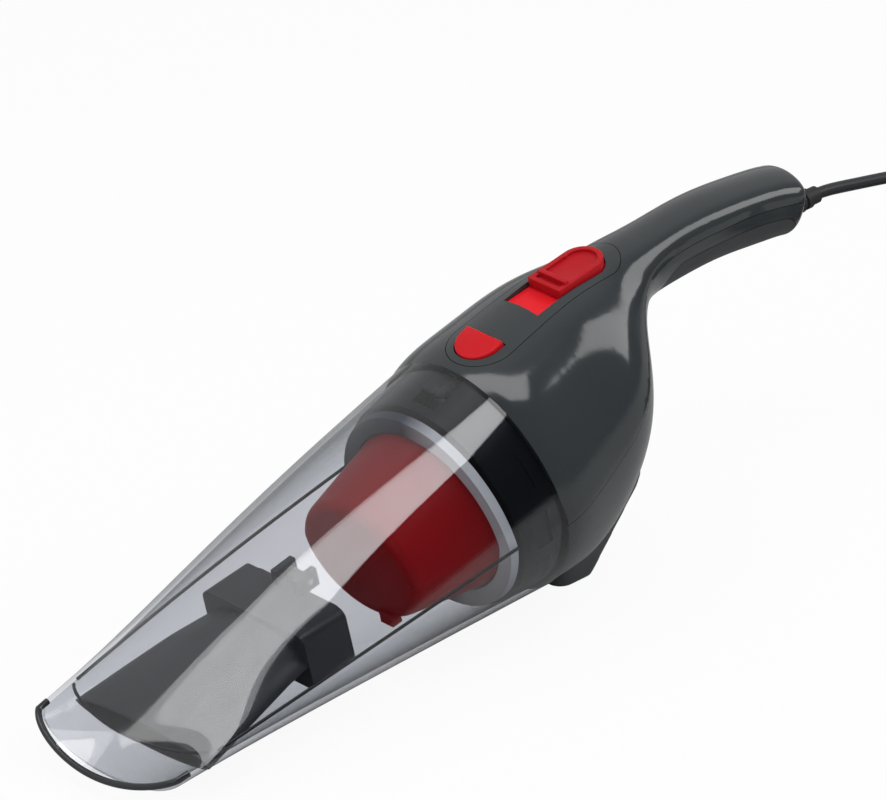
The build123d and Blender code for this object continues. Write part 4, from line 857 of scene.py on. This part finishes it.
def lead_curve():
    """One smooth round curve from the strain relief, through the coil, to the plug."""
    turns, (end_x, end_z) = coil_points()
    out_y = COIL_CENTRE[1] + LEAD_D
    first, second, last = PLUG_RUNS
    rise = [
        (end_x, out_y, end_z),
        (end_x, out_y + first, end_z),
        (end_x, out_y + second, PLUG_Z),
        (end_x, out_y + last, PLUG_Z),
    ]
    route = [RELIEF_END, *LEAD_STRAIGHT, *LEAD_ROUTE, *turns, *rise]
    curve = bpy.data.curves.new("lead", "CURVE")
    curve.dimensions = "3D"
    spline = curve.splines.new("NURBS")
    spline.points.add(len(route) - 1)
    for point, place in zip(spline.points, route):
        point.co = (*(Vector(place) * MM), 1.0)
    spline.order_u = LEAD_ORDER
    spline.use_endpoint_u = True
    spline.resolution_u = LEAD_STEPS
    curve.bevel_depth = LEAD_D / 2 * MM
    curve.bevel_resolution = LEAD_ROUNDNESS
    curve.use_fill_caps = True
    return curve


class DressLead(bpy.types.Operator):
    """Lays the lead as one smooth curve from the handle to the plug, with its tie and plug"""

    bl_idname = "vacuum.dress_lead"
    bl_label = "Lead"

    def execute(self, context):
        colours, sizes = context.scene.vacuum_colours, context.scene.vacuum_sizes
        lead = linked("lead", lead_curve())
        lead.data.materials.append(soft_rubber("cable jacket", colours.lead, roughness=0.4))
        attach(lead, "machine")
        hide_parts("power_cord", "cord_coil", "plug_lead")
        dress(plastic("plug black", colours.black, roughness=0.4), "plug_grip", "plug_barrel", "plug_ring")
        boot = soft_rubber("boot rubber", (0.012, 0.012, 0.013), roughness=0.5)
        dress(boot, "strain_relief", "plug_relief")
        dress(bare_metal("contact steel", (0.6, 0.6, 0.62), roughness=0.2), "plug_contacts")
        dress(bare_metal("tip brass", (0.72, 0.55, 0.27), roughness=0.2), "plug_tip")
        dress(plastic("fuse glass", (0.6, 0.64, 0.64), roughness=0.1), "plug_fuse")
        dress(woven("strap weave", (0.02, 0.02, 0.022), scale=700.0), "cord_tie")
        self.stitch_tie(sizes.stitch_pitch)
        return {"FINISHED"}

    def stitch_tie(self, pitch):
        """A row of stitches along each edge of the strap's top."""
        low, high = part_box("cord_tie")
        tree, ids = row_tree()
        thread = soft_rubber("strap thread", (0.09, 0.09, 0.095), roughness=0.7)
        for across, name in STITCH_ROWS:
            values = {
                "Count": int((high.y - low.y) / pitch) - 1,
                "Start": (low.x + (high.x - low.x) * across, low.y + pitch, high.z),
                "Step": (0.0, pitch, 0.0),
                "Size": STITCH_SIZE,
                "Finish": thread,
            }
            put(name, grown(tree, ids, bpy.data.meshes.new("row"), values), "machine")


class SetStudio(bpy.types.Operator):
    """Sets the pale floor, the soft lamps, the world and the camera"""

    bl_idname = "vacuum.set_studio"
    bl_label = "Studio"

    def execute(self, context):
        scene, studio = context.scene, context.scene.vacuum_studio
        scene.view_settings.view_transform = "Standard"
        scene.world = self.room(studio)
        form = bmesh.new()
        bmesh.ops.create_grid(form, x_segments=1, y_segments=1, size=FLOOR_HALF)
        floor = linked("floor", written(form, bpy.data.meshes.new("floor")))
        floor.location.z = -FLOOR_DROP
        floor.data.materials.append(self.paper())
        self.hang_card(studio.card)
        for lamp in LAMPS:
            self.hang_lamp(lamp, getattr(studio, lamp.power))
        self.set_camera(scene)
        return {"FINISHED"}

    def room(self, studio):
        """White for the camera, an even level for soft light, and a dark front in what gloss mirrors."""
        room = Finish("studio", bpy.data.worlds, "Generated")
        depth = room.node("ShaderNodeSeparateXYZ", None, {"Vector": room.place}, out="Y")
        limits = {"From Min": ROOM_FRONT, "From Max": ROOM_BACK, "To Min": studio.dark, "To Max": studio.wall}
        mirrored = room.node("ShaderNodeMapRange", None, {"Value": depth, **limits})
        soft = room.level(room.ray("Glossy"), studio.world, mirrored)
        seen = room.ray("Camera").larger(room.ray("Transmission"))
        sockets = {"Color": WHITE, "Strength": room.level(seen, soft, 1.0)}
        return room.done(room.node("ShaderNodeBackground", None, sockets), "ShaderNodeOutputWorld")

    def paper(self):
        """Pale floor that looks white to the camera, keeps a faint shadow, and is dimmer in mirrored light."""
        finish = Finish("pale floor")
        fibre = finish.noise(300.0, detail=3.0)
        pale = finish.blend(fibre, *([grey] * 3 for grey in FLOOR_GREYS))
        matt = finish.principled(Base_Color=pale, Roughness=FLOOR_ROUGHNESS)
        dim = finish.principled(Base_Color=(*[FLOOR_MIRRORED] * 3, 1), Roughness=FLOOR_ROUGHNESS)
        real = finish.mix(finish.ray("Glossy"), matt, dim)
        return finish.done(finish.mix(finish.ray("Camera") * FLOOR_WHITE, real, finish.glow(1.0)))

    def hang_card(self, strength):
        """Bright card overhead, seen only in what it lights and in mirrored light."""
        mesh = bpy.data.meshes.new("card")
        mesh.from_pydata([(x, y, CARD_HEIGHT) for x, y in CARD_PLAN], [], [tuple(range(len(CARD_PLAN)))])
        glow = Finish("card glow")
        mesh.materials.append(glow.done(glow.glow(strength)))
        card = linked("card", mesh)
        card.visible_camera = False
        card.visible_transmission = False
        card.visible_shadow = False

    def hang_lamp(self, lamp, power):
        """Softbox that looks at the machine from one side."""
        light = bpy.data.lights.new(lamp.name, "AREA")
        light.shape = "RECTANGLE"
        light.size, light.size_y = lamp.size
        light.energy = power
        way = Vector(lamp.toward).normalized()
        across = Vector(lamp.along).cross(way).normalized()
        pose = Matrix((across, way.cross(across), way)).transposed().to_4x4()
        pose.translation = EYE_TARGET + way * lamp.distance
        linked(lamp.name, light).matrix_world = pose

    def set_camera(self, scene):
        """Long lens at the photograph's viewing angle."""
        lens = bpy.data.cameras.new("camera")
        lens.sensor_fit = "HORIZONTAL"
        lens.sensor_width = SENSOR
        lens.lens = FOCAL_PIXELS / PHOTO_WIDTH * SENSOR
        lens.clip_end = VIEW_DEPTH
        across = cos(EYE_ELEVATION)
        back = Vector((sin(EYE_AZIMUTH) * across, -cos(EYE_AZIMUTH) * across, sin(EYE_ELEVATION)))
        right = Vector((cos(EYE_AZIMUTH), sin(EYE_AZIMUTH), 0))
        up = back.cross(right)
        turned = right * cos(EYE_ROLL) + up * sin(EYE_ROLL)
        raised = up * cos(EYE_ROLL) - right * sin(EYE_ROLL)
        pose = Matrix((turned, raised, back)).transposed().to_4x4()
        pose.translation = EYE_TARGET + back * EYE_DISTANCE
        scene.camera = linked("camera", lens)
        scene.camera.matrix_world = pose


OPERATORS = (DressCovers, DressBowl, DressFilter, DressControls, DressDrive, DressLead, SetStudio)


class VacuumPanel(bpy.types.Panel):
    """Lists the steps of the dressing"""

    bl_idname = "VIEW3D_PT_vacuum"
    bl_label = "Handheld vacuum"
    bl_space_type = "VIEW_3D"
    bl_region_type = "UI"
    bl_category = "Vacuum"

    def draw(self, context):
        for operator in OPERATORS:
            self.layout.operator(operator.bl_idname)


GROUPS = (
    ("vacuum_colours", VacuumColours),
    ("vacuum_sizes", VacuumSizes),
    ("vacuum_studio", VacuumStudio),
)


def register():
    for name, group in GROUPS:
        bpy.utils.register_class(group)
        setattr(bpy.types.Scene, name, PointerProperty(type=group))
    for part in (*OPERATORS, VacuumPanel):
        bpy.utils.register_class(part)


def unregister():
    for part in reversed((*OPERATORS, VacuumPanel)):
        bpy.utils.unregister_class(part)
    for name, group in reversed(GROUPS):
        delattr(bpy.types.Scene, name)
        bpy.utils.unregister_class(group)


def main():
    register()
    bpy.ops.vacuum.dress_covers()
    bpy.ops.vacuum.dress_bowl()
    bpy.ops.vacuum.dress_filter()
    bpy.ops.vacuum.dress_controls()
    bpy.ops.vacuum.dress_drive()
    bpy.ops.vacuum.dress_lead()
    bpy.ops.vacuum.set_studio()


if __name__ == "__main__":
    main()
